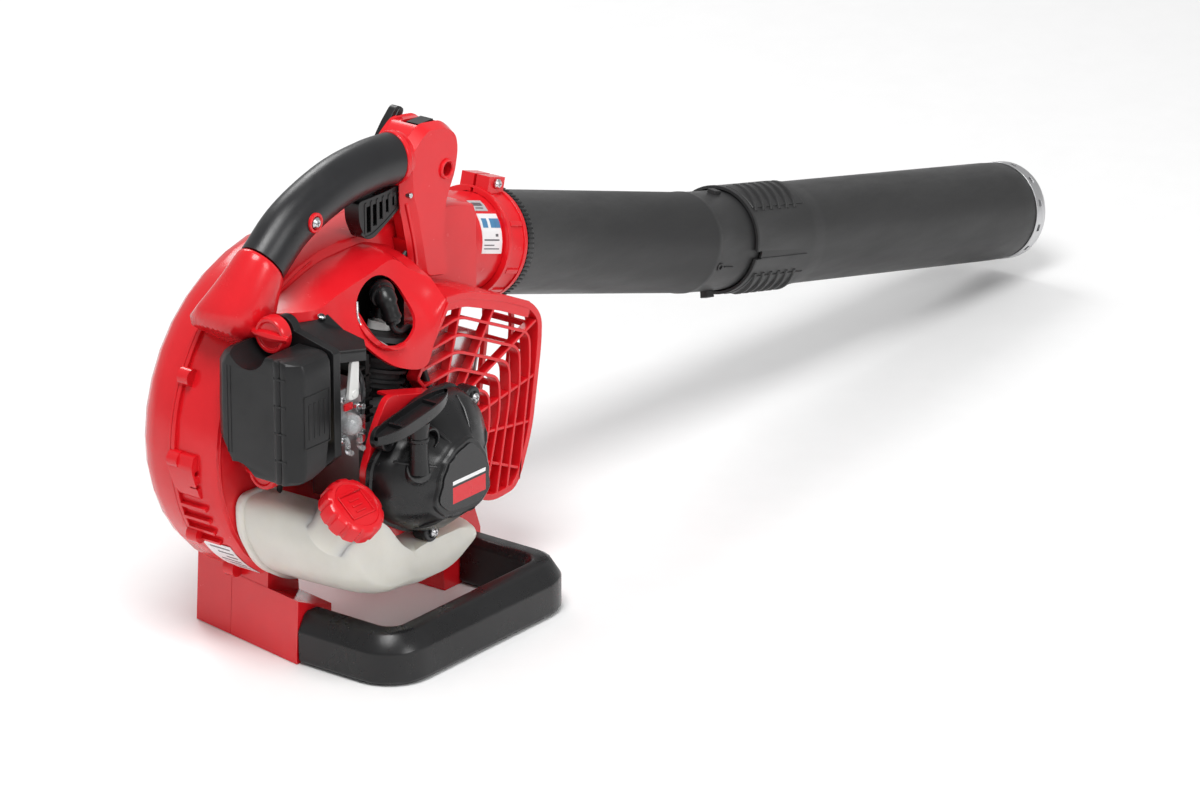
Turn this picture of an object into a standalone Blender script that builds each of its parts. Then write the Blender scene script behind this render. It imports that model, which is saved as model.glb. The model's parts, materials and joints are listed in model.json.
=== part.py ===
"""Hand-held petrol leaf blower, built as separate named sub-parts.

Lengths are written in millimetres in a design frame and turned into metres
when a mesh is made. Design frame: x forward (the way the air leaves), y to
the left (fan intake side positive, engine side negative), z up from the
ground. The crank and fan axis runs along y through x = 0, z = CRANK_Z.
"""
import math

import bmesh
import bpy
from mathutils import Vector
from mathutils.geometry import delaunay_2d_cdt

# ---------------------------------------------------------------- dimensions
MM = 0.001
SHIFT_X = -396.9         # design frame to row frame (box centred on x and y)
SHIFT_Y = 30.65
CRANK_Z = 145.0           # crank and fan axis above the ground
PITCH = math.radians(15.7)  # blow pipe points down by this at the outlet
GAP = 0.3                 # clearance between pieces that touch

CASE_Y0 = -26.0           # engine side wall of the fan case
CASE_SPLIT = 14.0         # parting plane of the two case halves
CASE_Y1 = 54.0            # intake side of the fan case
WALL = 2.6                # plastic wall
INTAKE_R = 58.0

OUTLET = (218.0, 14.0, 217.0)   # centre of the outlet mouth
NECK_R = 37.5
BORE_R = 34.4
PIPE_WALL = 2.0
FRONT_PITCH = math.radians(12.0)
FRONT_PIPE_LEN = 405.0
FRONT_R0 = 42.4
FRONT_R1 = 40.6

BAR_H = 38.0
BAR_W = 25.0
GRIP_Y = -30.0
FAN_R = 79.0
SHAFT_R = 6.0

COLLECTION = "leaf_blower"
RED = (0.62, 0.012, 0.02)
BLACK = (0.022, 0.022, 0.024)
GREY = (0.045, 0.045, 0.048)

# ------------------------------------------------------------------- helpers
for old in list(bpy.data.objects):
    bpy.data.objects.remove(old, do_unlink=True)

main = bpy.data.collections.new(COLLECTION)
bpy.context.scene.collection.children.link(main)
tools = bpy.data.collections.new("cutters")
bpy.context.scene.collection.children.link(tools)
cutter_count = [0]


def paint(name, colour, rough=0.4, metal=0.0, alpha=1.0):
    """A Principled material of its own for one sub-part."""
    m = bpy.data.materials.new(name)
    m.use_nodes = True
    b = m.node_tree.nodes["Principled BSDF"]
    b.inputs["Base Color"].default_value = (*colour, 1.0)
    b.inputs["Roughness"].default_value = rough
    b.inputs["Metallic"].default_value = metal
    b.inputs["Alpha"].default_value = alpha
    return m


def mesh_from(verts, faces, name="tmp"):
    """Mesh in metres from design-frame points, normals made outward."""
    me = bpy.data.meshes.new(name)
    pts = [((x + SHIFT_X) * MM, (y + SHIFT_Y) * MM, z * MM) for x, y, z in verts]
    me.from_pydata(pts, [], faces)
    bm = bmesh.new()
    bm.from_mesh(me)
    bmesh.ops.remove_doubles(bm, verts=bm.verts, dist=2e-6)
    bmesh.ops.recalc_face_normals(bm, faces=bm.faces)
    if bm.calc_volume(signed=True) < 0:
        bmesh.ops.reverse_faces(bm, faces=bm.faces)
    bm.to_mesh(me)
    bm.free()
    return me


def add(name, geo, colour, rough=0.4, metal=0.0, alpha=1.0):
    """Put a sub-part in the object's collection."""
    ob = bpy.data.objects.new(name, mesh_from(*geo, name=name))
    main.objects.link(ob)
    ob.data.materials.append(paint("mat_" + name, colour, rough, metal, alpha))
    return ob


def cutter(geo):
    """A hidden tool body for a Boolean."""
    cutter_count[0] += 1
    ob = bpy.data.objects.new(f"cutter_{cutter_count[0]}", mesh_from(*geo))
    ob.hide_render = True
    ob.display_type = "WIRE"
    tools.objects.link(ob)
    return ob


def boolean(ob, geo, op="DIFFERENCE"):
    """Cut or join one body exactly."""
    m = ob.modifiers.new(op.lower(), "BOOLEAN")
    m.operation = op
    m.solver = "EXACT"
    m.object = cutter(geo)
    return ob


def merge(*geos):
    """Several closed bodies in one tool mesh."""
    verts, faces = [], []
    for v, f in geos:
        n = len(verts)
        verts += list(v)
        faces += [[i + n for i in q] for q in f]
    return verts, faces


def loft(loops, closed=False):
    """Skin equal-length loops; flat caps at both ends unless closed."""
    n = len(loops[0])
    verts = [tuple(p) for loop in loops for p in loop]
    faces = []
    last = len(loops) if closed else len(loops) - 1
    for k in range(last):
        a, b = k * n, ((k + 1) % len(loops)) * n
        for i in range(n):
            j = (i + 1) % n
            faces.append([a + i, a + j, b + j, b + i])
    if not closed:
        faces.append(list(range(n))[::-1])
        faces.append([(len(loops) - 1) * n + i for i in range(n)])
    return verts, faces


def basis(axis):
    """Two unit vectors across an axis; the first is level."""
    a = Vector(axis).normalized()
    u = Vector((0, 0, 1)).cross(a)
    if u.length < 0.05:
        u = Vector((0, 1, 0)).cross(a)
    u.normalize()
    return a, u, a.cross(u).normalized()


def ring(centre, axis, r, n, r2=None, turn=0.0):
    """Circle (or ellipse, r across and r2 up) of n points about an axis."""
    a, u, v = basis(axis)
    c = Vector(centre)
    out = []
    for i in range(n):
        t = 2 * math.pi * i / n + turn
        out.append(c + u * (r * math.cos(t)) + v * ((r2 or r) * math.sin(t)))
    return out


def lathe(profile, origin, axis, n=48):
    """Closed (r, h) outline turned about an axis; r = 0 ends make poles."""
    a = Vector(axis).normalized()
    o = Vector(origin)
    loops = [ring(o + a * h, axis, max(r, 0.0), n) for r, h in profile]
    solid = profile[0][0] <= 0 and profile[-1][0] <= 0
    if not solid:
        return loft(loops, closed=True)
    verts, faces = loft(loops[1:-1])
    faces = faces[:-2]
    top, m = len(verts), len(loops) - 2
    verts += [tuple(o + a * profile[0][1]), tuple(o + a * profile[-1][1])]
    for i in range(n):
        j = (i + 1) % n
        faces.append([top, j, i])
        faces.append([top + 1, (m - 1) * n + i, (m - 1) * n + j])
    return verts, faces


def rod(p0, p1, r, n=24, r_in=0.0):
    """Straight round bar or tube between two points."""
    d = Vector(p1) - Vector(p0)
    if r_in > 0:
        return lathe([(r_in, 0), (r, 0), (r, d.length), (r_in, d.length)], p0, d, n)
    return lathe([(0, 0), (r, 0), (r, d.length), (0, d.length)], p0, d, n)


def box(x0, x1, y0, y1, z0, z1):
    """Plain block."""
    lower = [(x0, y0, z0), (x1, y0, z0), (x1, y1, z0), (x0, y1, z0)]
    return loft([lower, [(x, y, z1) for x, y, z in lower]])


def slab(poly, y0, y1, inset=0.0):
    """Outline in x, z pushed along y; inset rounds the y0 edge."""
    if not inset:
        return loft([[(x, y0, z) for x, z in poly], [(x, y1, z) for x, z in poly]])
    small = offset(poly, -inset)
    mid = offset(poly, -inset * 0.3)
    step = inset if y1 > y0 else -inset
    return loft([[(x, y0, z) for x, z in small],
                 [(x, y0 + step * 0.3, z) for x, z in mid],
                 [(x, y0 + step, z) for x, z in poly],
                 [(x, y1, z) for x, z in poly]])


def offset(poly, d):
    """Move every corner of an anticlockwise outline out by d."""
    n, out = len(poly), []
    for i in range(n):
        p, q, r = (Vector(poly[(i + k) % n]) for k in (-1, 0, 1))
        e0, e1 = (q - p).normalized(), (r - q).normalized()
        n0, n1 = Vector((e0.y, -e0.x)), Vector((e1.y, -e1.x))
        m = n0 + n1
        m = m / max(m.length_squared / 2.0, 0.5)
        out.append(tuple(q + m * d))
    return out


def round_poly(corners, radius, steps=4):
    """Outline with every corner rounded."""
    n, out = len(corners), []
    for i in range(n):
        p, q, r = (Vector(corners[(i + k) % n]) for k in (-1, 0, 1))
        rad = min(radius, (p - q).length * 0.45, (r - q).length * 0.45)
        a, b = q + (p - q).normalized() * rad, q + (r - q).normalized() * rad
        for s in range(steps + 1):
            t = s / steps
            w = a * (1 - t) ** 2 + q * (2 * t * (1 - t)) + b * t ** 2
            out.append(tuple(w))
    return out


def smooth_path(points, per=6):
    """Catmull-Rom line through the points."""
    pts = [Vector(p) for p in points]
    pts = [pts[0] * 2 - pts[1]] + pts + [pts[-1] * 2 - pts[-2]]
    out = []
    for i in range(1, len(pts) - 2):
        p0, p1, p2, p3 = pts[i - 1:i + 3]
        for s in range(per):
            t = s / per
            out.append(0.5 * (2 * p1 + (p2 - p0) * t
                              + (2 * p0 - 5 * p1 + 4 * p2 - p3) * t ** 2
                              + (3 * p1 - p0 - 3 * p2 + p3) * t ** 3))
    out.append(pts[-2])
    return out


def sweep(path, radii, n=16, inner=None):
    """Tube along a path; radii are (across, up) pairs or numbers."""
    def loops(rad):
        out = []
        for i, p in enumerate(path):
            d = path[min(i + 1, len(path) - 1)] - path[max(i - 1, 0)]
            r = rad[i] if isinstance(rad, list) else rad
            pair = r if isinstance(r, tuple) else (r, r)
            out.append(ring(p, d, pair[0], n, pair[1]))
        return out
    if inner is None:
        return loft(loops(radii))
    return loft(loops(radii) + loops(inner)[::-1], closed=True)


def pierced(outline, holes, place, thick, bends=()):
    """Sheet with openings: flat (s, t) shapes laid on place(s, t, depth)."""
    pts, edges, faces = [], [], []
    for loop in [outline] + holes:
        n = len(pts)
        pts += [Vector(p) for p in loop]
        faces.append([n + i for i in range(len(loop))])
    for a, b in bends:
        n = len(pts)
        pts += [Vector(a), Vector(b)]
        edges.append((n, n + 1))
    v2, _, tris, _, _, owners = delaunay_2d_cdt(pts, edges, faces, 0, 1e-4)
    keep = [t for t, own in zip(tris, owners) if set(own) == {0}]
    used = sorted({i for t in keep for i in t})
    at = {v: k for k, v in enumerate(used)}
    m = len(used)
    verts = [place(*v2[i], 0.0) for i in used] + [place(*v2[i], thick) for i in used]
    out, rim = [], {}
    for t in keep:
        q = [at[i] for i in t]
        out += [q, [i + m for i in q[::-1]]]
        for i in range(3):
            rim[(q[i], q[(i + 1) % 3])] = 1
    for a, b in rim:
        if (b, a) not in rim:
            out.append([b, a, a + m, b + m])
    return verts, out


def screw(name, at, axis, r=3.6, length=9.0, head=3.0):
    """Cross-recess pan head screw; 'at' is the seat under its head."""
    a = Vector(axis).normalized()
    p = Vector(at)
    prof = [(0, head), (r * 0.62, head), (r, head * 0.55), (r, 0.02), (r * 0.5, 0.02),
            (r * 0.5, -length), (0, -length)]
    ob = add(name, lathe(prof, p, a, 12), (0.62, 0.62, 0.64), 0.3, 1.0)
    _, u, v = basis(axis)
    for w, t in ((u, v), (v, u)):
        c = p + a * head
        bar = [c + w * (sw * r * 0.5) + t * (st * r * 0.1) for sw, st in
               ((-1, -1), (1, -1), (1, 1), (-1, 1))]
        boolean(ob, loft([[q - a * 1.1 for q in bar], [q + a for q in bar]]))
    return ob


def polar(r, deg):
    """Point in the x, z plane about the crank axis."""
    t = math.radians(deg)
    return r * math.cos(t), CRANK_Z + r * math.sin(t)


def leaned(x, y, z):
    """Point given in axes leaned forward by PITCH about the crank axis."""
    c, s = math.cos(PITCH), math.sin(PITCH)
    return (x * c + z * s, y, CRANK_Z - x * s + z * c)


PIPE_DIR = Vector((math.cos(PITCH), 0.0, -math.sin(PITCH)))
FRONT_DIR = Vector((math.cos(FRONT_PITCH), 0.0, -math.sin(FRONT_PITCH)))
LEAN_UP = Vector((math.sin(PITCH), 0.0, math.cos(PITCH)))
MOUTH = Vector(OUTLET)

# ------------------------------------------------------------------ fan case
KNOTS = [(40, 86), (0, 92), (-45, 100), (-90, 107), (-132, 115), (-180, 126),
         (-225, 133), (-255, 137), (-285, 142)]


def scroll_radius(deg):
    for (a0, r0), (a1, r1) in zip(KNOTS, KNOTS[1:]):
        if a1 <= deg <= a0:
            return r0 + (r1 - r0) * (a0 - deg) / (a0 - a1)
    return KNOTS[-1][1]


scroll = [polar(scroll_radius(40 - k * 325 / 33), 40 - k * 325 / 33) for k in range(34)]
scroll += [(100.0, 283.5), (140.0, 276.5), (163.0, 270.0), (166.0, 262.0), (166.0, 204.0),
           (163.0, 196.0), (120.0, 196.0), (84.0, 197.5)]
scroll = [tuple(p) for p in scroll][::-1]


def shell(inner, ys, insets):
    """Stack of the scroll outline at given depths; the duct is rounded less."""
    wall = offset(scroll, -inner)
    far = offset(scroll, -inner - 1.0)
    loops = []
    for y, i in zip(ys, insets):
        loop = []
        for (x, z), (u, w) in zip(wall, far):
            k = i * (1.0 if x < 60 else max(0.25, 1.0 - (x - 60) / 60))
            loop.append((x + (u - x) * k, y, z + (w - z) * k))
        loops.append(loop)
    return loft(loops)


def neck(y_from, y_to, r, s0, s1, n=32):
    """Round duct about the outlet axis, clipped between two depths."""
    loop = []
    for i in range(n):
        t = 2 * math.pi * i / n
        y = min(max(OUTLET[1] + r * math.cos(t), y_from), y_to)
        loop.append((y - OUTLET[1], r * math.sin(t)))
    up = LEAN_UP
    return loft([[MOUTH + PIPE_DIR * s + Vector((0, y, 0)) + up * z for y, z in loop]
                 for s in (s0, s1)])


REAR_FOOT = [(-1, 0), (38, 0), (36, 42), (22, 66), (4, 70)]
REAR_TOE = [(-1, 0), (38, 0), (38, 34), (18, 40), (2, 47)]
FRONT_FOOT = [(86, 0), (128, 0), (128, 37), (104, 100), (80, 108), (82, 60)]


def rear_foot(y0, y1, shape):
    """Rear foot: its back edge runs slightly forward toward the intake side."""
    def at(y):
        return -82 + (y + 59) * 20 / 111
    return loft([[(at(y) + x, y, z) for x, z in shape] for y in (y0, y1)])


right = add("fan_case_engine_half",
            shell(0, (CASE_Y0, CASE_Y0 + 2, CASE_Y0 + 7, CASE_SPLIT - 0.2), (7, 2.2, 0, 0)),
            RED, 0.28)
boolean(right, rear_foot(CASE_Y0 + 0.7, CASE_SPLIT - 0.2, REAR_FOOT), "UNION")
boolean(right, rear_foot(-59, CASE_SPLIT - 4, REAR_TOE), "UNION")
boolean(right, slab(FRONT_FOOT[::-1], -57, CASE_SPLIT - 0.2), "UNION")
boolean(right, neck(-99, CASE_SPLIT - 0.2, NECK_R, -62, 0), "UNION")
boolean(right, shell(WALL, (CASE_Y0 + WALL, CASE_Y0 + 5, CASE_Y0 + 9, CASE_SPLIT + 9),
                     (6, 1.8, 0, 0)))
boolean(right, rod(MOUTH - PIPE_DIR * 75, MOUTH + PIPE_DIR * 9, BORE_R, 32))
boolean(right, rod((0, CASE_Y0 - 9, CRANK_Z), (0, CASE_Y0 + 9, CRANK_Z), 18.0, 32))
for deg in (150, 176, 206, 232):
    cx, cz = polar(scroll_radius(deg - 360) + 1.5, deg)
    boolean(right, rod((cx, CASE_SPLIT - 10, cz), (cx, CASE_SPLIT - 0.6, cz), 6.5, 12), "UNION")

left = add("fan_case_intake_half",
           shell(0, (CASE_SPLIT + 0.2, 32, 42, 49, CASE_Y1 - 1, CASE_Y1), (0, 0, 4, 10, 19, 23)),
           RED, 0.28)
boolean(left, rear_foot(CASE_SPLIT + 0.2, 52, REAR_FOOT), "UNION")
boolean(left, slab(FRONT_FOOT[::-1], CASE_SPLIT + 0.2, 52), "UNION")
boolean(left, neck(CASE_SPLIT + 0.2, 99, NECK_R, -62, 0), "UNION")
boolean(left, shell(WALL, (CASE_SPLIT - 9, 32, 41, 47, CASE_Y1 - WALL), (0, 0, 4, 10, 22)))
boolean(left, rod(MOUTH - PIPE_DIR * 75, MOUTH + PIPE_DIR * 9, BORE_R, 32))
boolean(left, rod((0, 30, CRANK_Z), (0, 99, CRANK_Z), INTAKE_R, 36))

# intake grille: low dome of rings and spokes over the intake
DOME_R = 70.0


def dome(s, t, d):
    r = math.hypot(s, t)
    h = CASE_Y1 + GAP + 34 * math.sqrt(max(0.0, 1 - (r / DOME_R) ** 2) * 0.94) + (2.2 - d)
    return s, h, CRANK_Z + t


def arc_cell(r0, r1, a0, a1, steps=3):
    """Opening between two radii and two angles (degrees)."""
    go = [math.radians(a0 + (a1 - a0) * k / steps) for k in range(steps + 1)]
    return ([(r1 * math.cos(t), r1 * math.sin(t)) for t in go]
            + [(r0 * math.cos(t), r0 * math.sin(t)) for t in go[::-1]])


cells = []
for r0, r1, count in ((14, 26, 6), (29.5, 43, 10), (46.5, 60, 12)):
    for k in range(count):
        step = 360 / count
        lean = math.degrees(1.6 / r0)
        cells.append(arc_cell(r0, r1, k * step + lean, (k + 1) * step - lean, 2))
disc = [(DOME_R * math.cos(2 * math.pi * k / 32), DOME_R * math.sin(2 * math.pi * k / 32))
        for k in range(32)]
add("intake_grille", pierced(disc, cells, dome, 2.2), BLACK, 0.5)

# ------------------------------------------------------------- fan and crank
fan = add("fan_wheel", lathe([(7.0, -19), (20, -19), (20, -14), (FAN_R, -14), (FAN_R, -11.5),
                              (21, -11.5), (17, 12), (7.0, 12)], (0, 0, CRANK_Z), (0, 1, 0), 32),
          (0.05, 0.05, 0.055), 0.5)
blades = []
for k in range(11):
    a = 2 * math.pi * k / 11
    mid = []
    for q in range(4):
        rr, aa = 40 + q * 12.6, a + 0.20 * q
        mid.append((rr * math.cos(aa), rr * math.sin(aa), aa))
    loop = [(x - 1.1 * math.sin(t), z + 1.1 * math.cos(t)) for x, z, t in mid]
    loop += [(x + 1.1 * math.sin(t), z - 1.1 * math.cos(t)) for x, z, t in mid[::-1]]
    blades.append(loft([[(x, y, z + CRANK_Z) for x, z in loop] for y in (-12.5, 38)]))
boolean(fan, merge(*blades), "UNION")
fan_collar = [(5.7, 12.3), (11, 12.3), (11, 15), (9, 22), (5.7, 22)]
add("fan_nut", lathe(fan_collar, (0, 0, CRANK_Z), (0, 1, 0), 6), (0.5, 0.5, 0.52), 0.35, 1.0)
shaft = [(0, -107), (4.6, -107), (4.6, -100), (SHAFT_R, -99.8), (SHAFT_R, -62), (20, -62),
         (20, -38), (SHAFT_R, -38), (SHAFT_R, -19.4), (5.6, -19.2), (5.6, -2), (4.7, -1.8),
         (4.7, 18), (0, 18)]
add("crankshaft", lathe(shaft, (0, 0, CRANK_Z), (0, 1, 0), 18), (0.5, 0.5, 0.52), 0.3, 1.0)
bore = (SHAFT_R + 0.06) / math.cos(math.pi / 18)
for name, y in (("main_bearing_fan_side", -36), ("main_bearing_starter_side", -75)):
    add(name, lathe([(bore, y), (15.7, y), (15.7, y + 8), (bore, y + 8)],
                    (0, 0, CRANK_Z), (0, 1, 0), 18), (0.6, 0.6, 0.62), 0.25, 1.0)
add("flywheel", lathe([(SHAFT_R + 0.2, -98), (41, -98), (41, -89), (12, -89),
                       (12, -80), (SHAFT_R + 0.2, -80)], (0, 0, CRANK_Z),
                      (0, 1, 0), 24), (0.42, 0.42, 0.44), 0.45, 1.0)

# -------------------------------------------------------------------- engine
block = add("crankcase", box(-31.5, 31.5, -76, CASE_Y0 - 7, 108, 178), (0.32, 0.32, 0.34), 0.5, 1.0)
boolean(block, rod((0, CASE_Y0 - 9, CRANK_Z), (0, CASE_Y0 - GAP, CRANK_Z), 26, 32), "UNION")
boolean(block, rod((0, -90, CRANK_Z), (0, -15, CRANK_Z), 16.0, 30))
boolean(block, rod((0, -63.4, CRANK_Z), (0, -36.7, CRANK_Z), 25.0, 28))
boolean(block, rod(leaned(0, -50, 11), leaned(0, -50, 62), 17.0, 26))

BARREL_Y = -51.4
FIN_R = 25.0
deck = 39.5
fins = [(17.0, deck), (22, deck), (22, deck + 4)]
for k in range(4):
    h = deck + 4 + k * 7.2
    fins += [(FIN_R, h), (FIN_R, h + 2.2), (20.5, h + 2.6), (20.5, h + 7.0)]
fins += [(FIN_R, h + 7.4), (24, h + 11), (12, h + 13), (4.6, h + 13), (4.6, h + 8), (17.0, h + 4)]
top = h + 13
add("cylinder", lathe(fins, leaned(0, BARREL_Y, 0), LEAN_UP, 18), (0.03, 0.03, 0.032), 0.6)


def leaned_box(x0, x1, y0, y1, z0, z1):
    lower = [(x0, y0), (x1, y0), (x1, y1), (x0, y1)]
    return loft([[leaned(x, y, z) for x, y in lower] for z in (z0, z1)])


boolean(block, leaned_box(-60, 60, -120, 0, deck - GAP, 90))
plug = [(0, -7), (4.3, -7), (4.3, 0.3), (8.5, 0.3), (8.5, 6), (5.3, 6.4), (5.3, 12), (4, 13),
        (3.4, 20), (0, 20)]
add("spark_plug", lathe(plug, leaned(0, BARREL_Y, top), LEAN_UP, 12), (0.8, 0.8, 0.78), 0.3)
boot_base = Vector(leaned(0, BARREL_Y, top + 6.6))
boot_path = smooth_path([boot_base + LEAN_UP * 1.2, boot_base + LEAN_UP * 14,
                         boot_base + Vector((-2, -8, 23)), boot_base + Vector((-8, -16, 17)),
                         boot_base + Vector((-9, -19, 6))], 4)
boot = add("spark_plug_boot", sweep(boot_path, [(8.4, 8.4)] * 6 + [(7.2, 7.2)] * 5
                                    + [(5.6, 5.6)] * (len(boot_path) - 11), 12), BLACK, 0.55)
boolean(boot, rod(boot_base - LEAN_UP * 9, boot_base + LEAN_UP * 13.9, 5.9, 14))
lead_dir = (boot_path[-1] - boot_path[-2]).normalized()
lead_top = boot_path[-1] + lead_dir * 0.6
lead_path = smooth_path([lead_top, lead_top + lead_dir * 4, Vector((19, -73, 223.6)),
                         Vector((31, -70, 223)), Vector((43, -70.5, 215)),
                         Vector((44.5, -70.5, 203)),
                         Vector((44.5, -74.4, 184)), Vector((46, -80.5, 171)),
                         Vector((49, -90, 163)), Vector((49, -90, 156.8))], 3)
add("ignition_lead", sweep(lead_path, 2.6, 8), BLACK, 0.5)
add("ignition_coil", box(42.6, 56, -99, -84, 134, 156), (0.05, 0.05, 0.06), 0.5)

muf = add("muffler", leaned_box(34.4, 92, -72, -33, 2, 80), (0.35, 0.34, 0.33), 0.4, 1.0)
boolean(muf, leaned_box(36, 90.4, -70.4, -34.6, 3.6, 78.4))
boolean(muf, rod(leaned(30, BARREL_Y, 58), leaned(40, BARREL_Y, 58), 9, 24))
boolean(muf, rod(leaned(85, -55, 20), leaned(99, -55, 20), 7, 24))
add("heat_shield", leaned_box(92.4, 94, -73, -34, 34, 78), (0.55, 0.55, 0.56), 0.35, 1.0)

# ----------------------------------------------------------------- red covers
# engine cover: roof from the fan case to a ridge, then a side face that swells outward
ROOF_WALL = 2.4
ROOF = [
    (-84, [(-26.3, 256.5), (-29, 257.3), (-31.5, 257.5), (-32, 255), (-32.5, 252), (-33, 249)]),
    (-57, [(-26.3, 262.5), (-42, 260.5), (-58, 258), (-59, 255), (-60.5, 251), (-62, 247)]),
    (-30, [(-26.3, 271), (-42, 267), (-58, 262), (-60, 254), (-63, 245), (-66, 236)]),
    (-10, [(-26.3, 275), (-42, 270.5), (-57.5, 265), (-61.5, 247), (-72, 230), (-79, 214)]),
    (8, [(-26.3, 276), (-42, 272), (-56.5, 267), (-62, 246), (-78, 226), (-84, 202)]),
    (34, [(-26.3, 276), (-41, 273), (-55, 269.5), (-62.5, 246), (-79, 226), (-85, 187)]),
    (48, [(-26.3, 272), (-42, 268), (-60, 259), (-68, 240), (-79, 224), (-85, 181)]),
    (61, [(-26.3, 266), (-44, 261), (-66, 250), (-73, 236), (-80, 220), (-85, 177)]),
]


def thick(line, wall):
    """Open cross-section in y, z closed by a second line one wall further in."""
    inner = []
    for i, p in enumerate(line):
        along = (Vector(line[min(i + 1, len(line) - 1)]) - Vector(line[max(i - 1, 0)])).normalized()
        inner.append((p[0] - along.y * wall, p[1] + along.x * wall))
    inner[0] = (line[0][0], line[0][1] - wall)
    return line + inner[::-1]


hood = add("engine_cover", loft([[(x, y, z) for y, z in thick(line, ROOF_WALL)]
                                 for x, line in ROOF]), RED, 0.28)
WINDOW = (8.0, 242.0)
oval = [(WINDOW[0] + 29 * math.cos(2 * math.pi * k / 28),
         WINDOW[1] + 24 * math.sin(2 * math.pi * k / 28)) for k in range(28)]
boolean(hood, slab(oval, -99, -50))

# shroud behind the starter
shroud_outline = round_poly([(-46, 178), (-60, 146), (-52, 122), (-46, 100), (-30, 90), (44, 92),
                             (60, 120), (60, 176), (40, 177), (24, 184), (-32, 198)], 8, 3)
shroud = add("engine_shroud", slab(shroud_outline, -104, -88.6), RED, 0.3)
boolean(shroud, slab(offset(shroud_outline, -2.4), -101.5, -70))
boolean(shroud, box(-80, -26, -98.6, -70, 60, 220))
boolean(shroud, rod((0, -120, CRANK_Z), (0, -60, CRANK_Z), 34, 40))

# muffler guard: side panel that wraps round to the front
GUARD_Y = -80.0
GUARD_X0, GUARD_X1 = 62.6, 172.0
CORNER = 16.0
ARC = CORNER * math.pi / 2
FRONT_END = 36.0


def wrap(s, t, d):
    """Panel coordinate s runs along the side, round the corner, then across."""
    if s <= GUARD_X1:
        return s, GUARD_Y + d, t
    if s <= GUARD_X1 + ARC:
        a = (s - GUARD_X1) / CORNER
        r = CORNER - d
        return GUARD_X1 + r * math.sin(a), GUARD_Y + CORNER - r * math.cos(a), t
    return GUARD_X1 + CORNER - d, GUARD_Y + CORNER + (s - GUARD_X1 - ARC), t


S_END = GUARD_X1 + ARC + FRONT_END
guard_edge = [(GUARD_X0, 94), (84, 84), (112, 60), (140, 60), (158, 78), (168, 104), (S_END, 112),
              (S_END, 192), (GUARD_X1 + ARC, 194), (162, 205), (127, 222), (84, 236),
              (66, 238), (GUARD_X0, 234)]


def reach(deg):
    """Span along a ray from the crank axis that lies on the side panel."""
    c, d = math.cos(math.radians(deg)), math.sin(math.radians(deg))
    near = max(66.0, (GUARD_X0 + 4) / c)
    r = near
    while r * c < 167.5 and low_edge(r * c) + 5 < CRANK_Z + r * d < high_edge(r * c) - 5:
        r += 0.5
    return near, r


def guard_cells():
    """Openings between rays from the crank axis and ribs that follow the panel's edge."""
    out = []
    rays = [-34 + k * 9.2 for k in range(10)]
    for a0, a1 in zip(rays, rays[1:]):
        spans = [reach(a0), reach(a1)]
        mean = sum(far - near for near, far in spans) / 2
        count = max(1, round(mean / 15.5))
        for k in range(count):
            cell = []
            for a, lean, i, part in ((a0, 1, 0, 1), (a1, -1, 1, 1), (a1, -1, 1, 0), (a0, 1, 0, 0)):
                near, far = spans[i]
                r = near + (far - near) * (k + part) / count - (2.8 if k + part < count else 0) * part
                t = math.radians(a + lean * 80.0 / r)
                cell.append((r * math.cos(t), CRANK_Z + r * math.sin(t)))
            out.append(cell)
    for k in range(5):
        z0 = 119 + k * 14.5
        for s0, s1 in ((172.5, 195), (198, S_END - 5)):
            out.append([(s0, z0), (s1, z0), (s1, z0 + 11.5), (s0, z0 + 11.5)])
    return out


def edge_at(x, pairs):
    for (x0, z0), (x1, z1) in zip(pairs, pairs[1:]):
        if x0 <= x <= x1:
            return z0 + (z1 - z0) * (x - x0) / (x1 - x0)
    return pairs[-1][1]


def low_edge(x):
    return edge_at(x, [(GUARD_X0, 94), (84, 84), (112, 60), (140, 60), (158, 78), (168, 104),
                       (S_END, 112)])


def high_edge(x):
    return edge_at(x, [(GUARD_X0, 234), (66, 238), (84, 236), (127, 222), (162, 205),
                       (GUARD_X1 + ARC, 194), (S_END, 192)])


folds = [((GUARD_X1 + ARC * k / 5, 40), (GUARD_X1 + ARC * k / 5, 260)) for k in range(6)]
guard = add("muffler_guard", pierced(guard_edge, guard_cells(), wrap, 2.6, folds), RED, 0.3)
ledge = slab([(66, 235.6), (84, 233.6), (127, 219.6), (160, 203.5), (160, 206.5), (127, 224),
              (84, 238.4), (66, 240.4)], -78.5, -26.4)
boolean(guard, ledge, "UNION")
boolean(guard, slab([(113, 58), (140, 58), (140, 61.5), (113, 61.5)][::-1], -78.5, -57.3), "UNION")

# ------------------------------------------------------------ starter housing
START = (0.0, 0.0, CRANK_Z)
starter = add("starter_case", lathe([(0, -104.3), (53, -104.3), (53, -112), (51, -122),
                                     (44, -136), (36, -145), (0, -147)],
                                    START, (0, 1, 0), 32), BLACK, 0.42)
for deg in (35, 150, 268):
    cx, cz = polar(52, deg)
    boolean(starter, rod((cx, -118, cz), (cx, -105.6, cz), 8, 14), "UNION")
ROPE = (-38.0, -136.0)
boolean(starter, rod((ROPE[0], ROPE[1], 148), (ROPE[0], ROPE[1], 176), 6.4, 16), "UNION")
boolean(starter, lathe([(0, -144), (33.5, -142), (40.5, -133), (47.0, -120), (49.0, -111),
                        (49.5, -99), (0, -99)], START, (0, 1, 0), 32))
boolean(starter, rod((ROPE[0], ROPE[1], 140), (ROPE[0], ROPE[1], 190), 3.0, 14))
reel = [(4.0, -124), (33, -124), (33, -121.5), (25, -121), (25, -115), (33, -114.5), (33, -112),
        (16, -112), (16, -110), (4.0, -110)]
add("starter_reel", lathe(reel, START, (0, 1, 0), 20), (0.75, 0.74, 0.7), 0.5)
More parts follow.
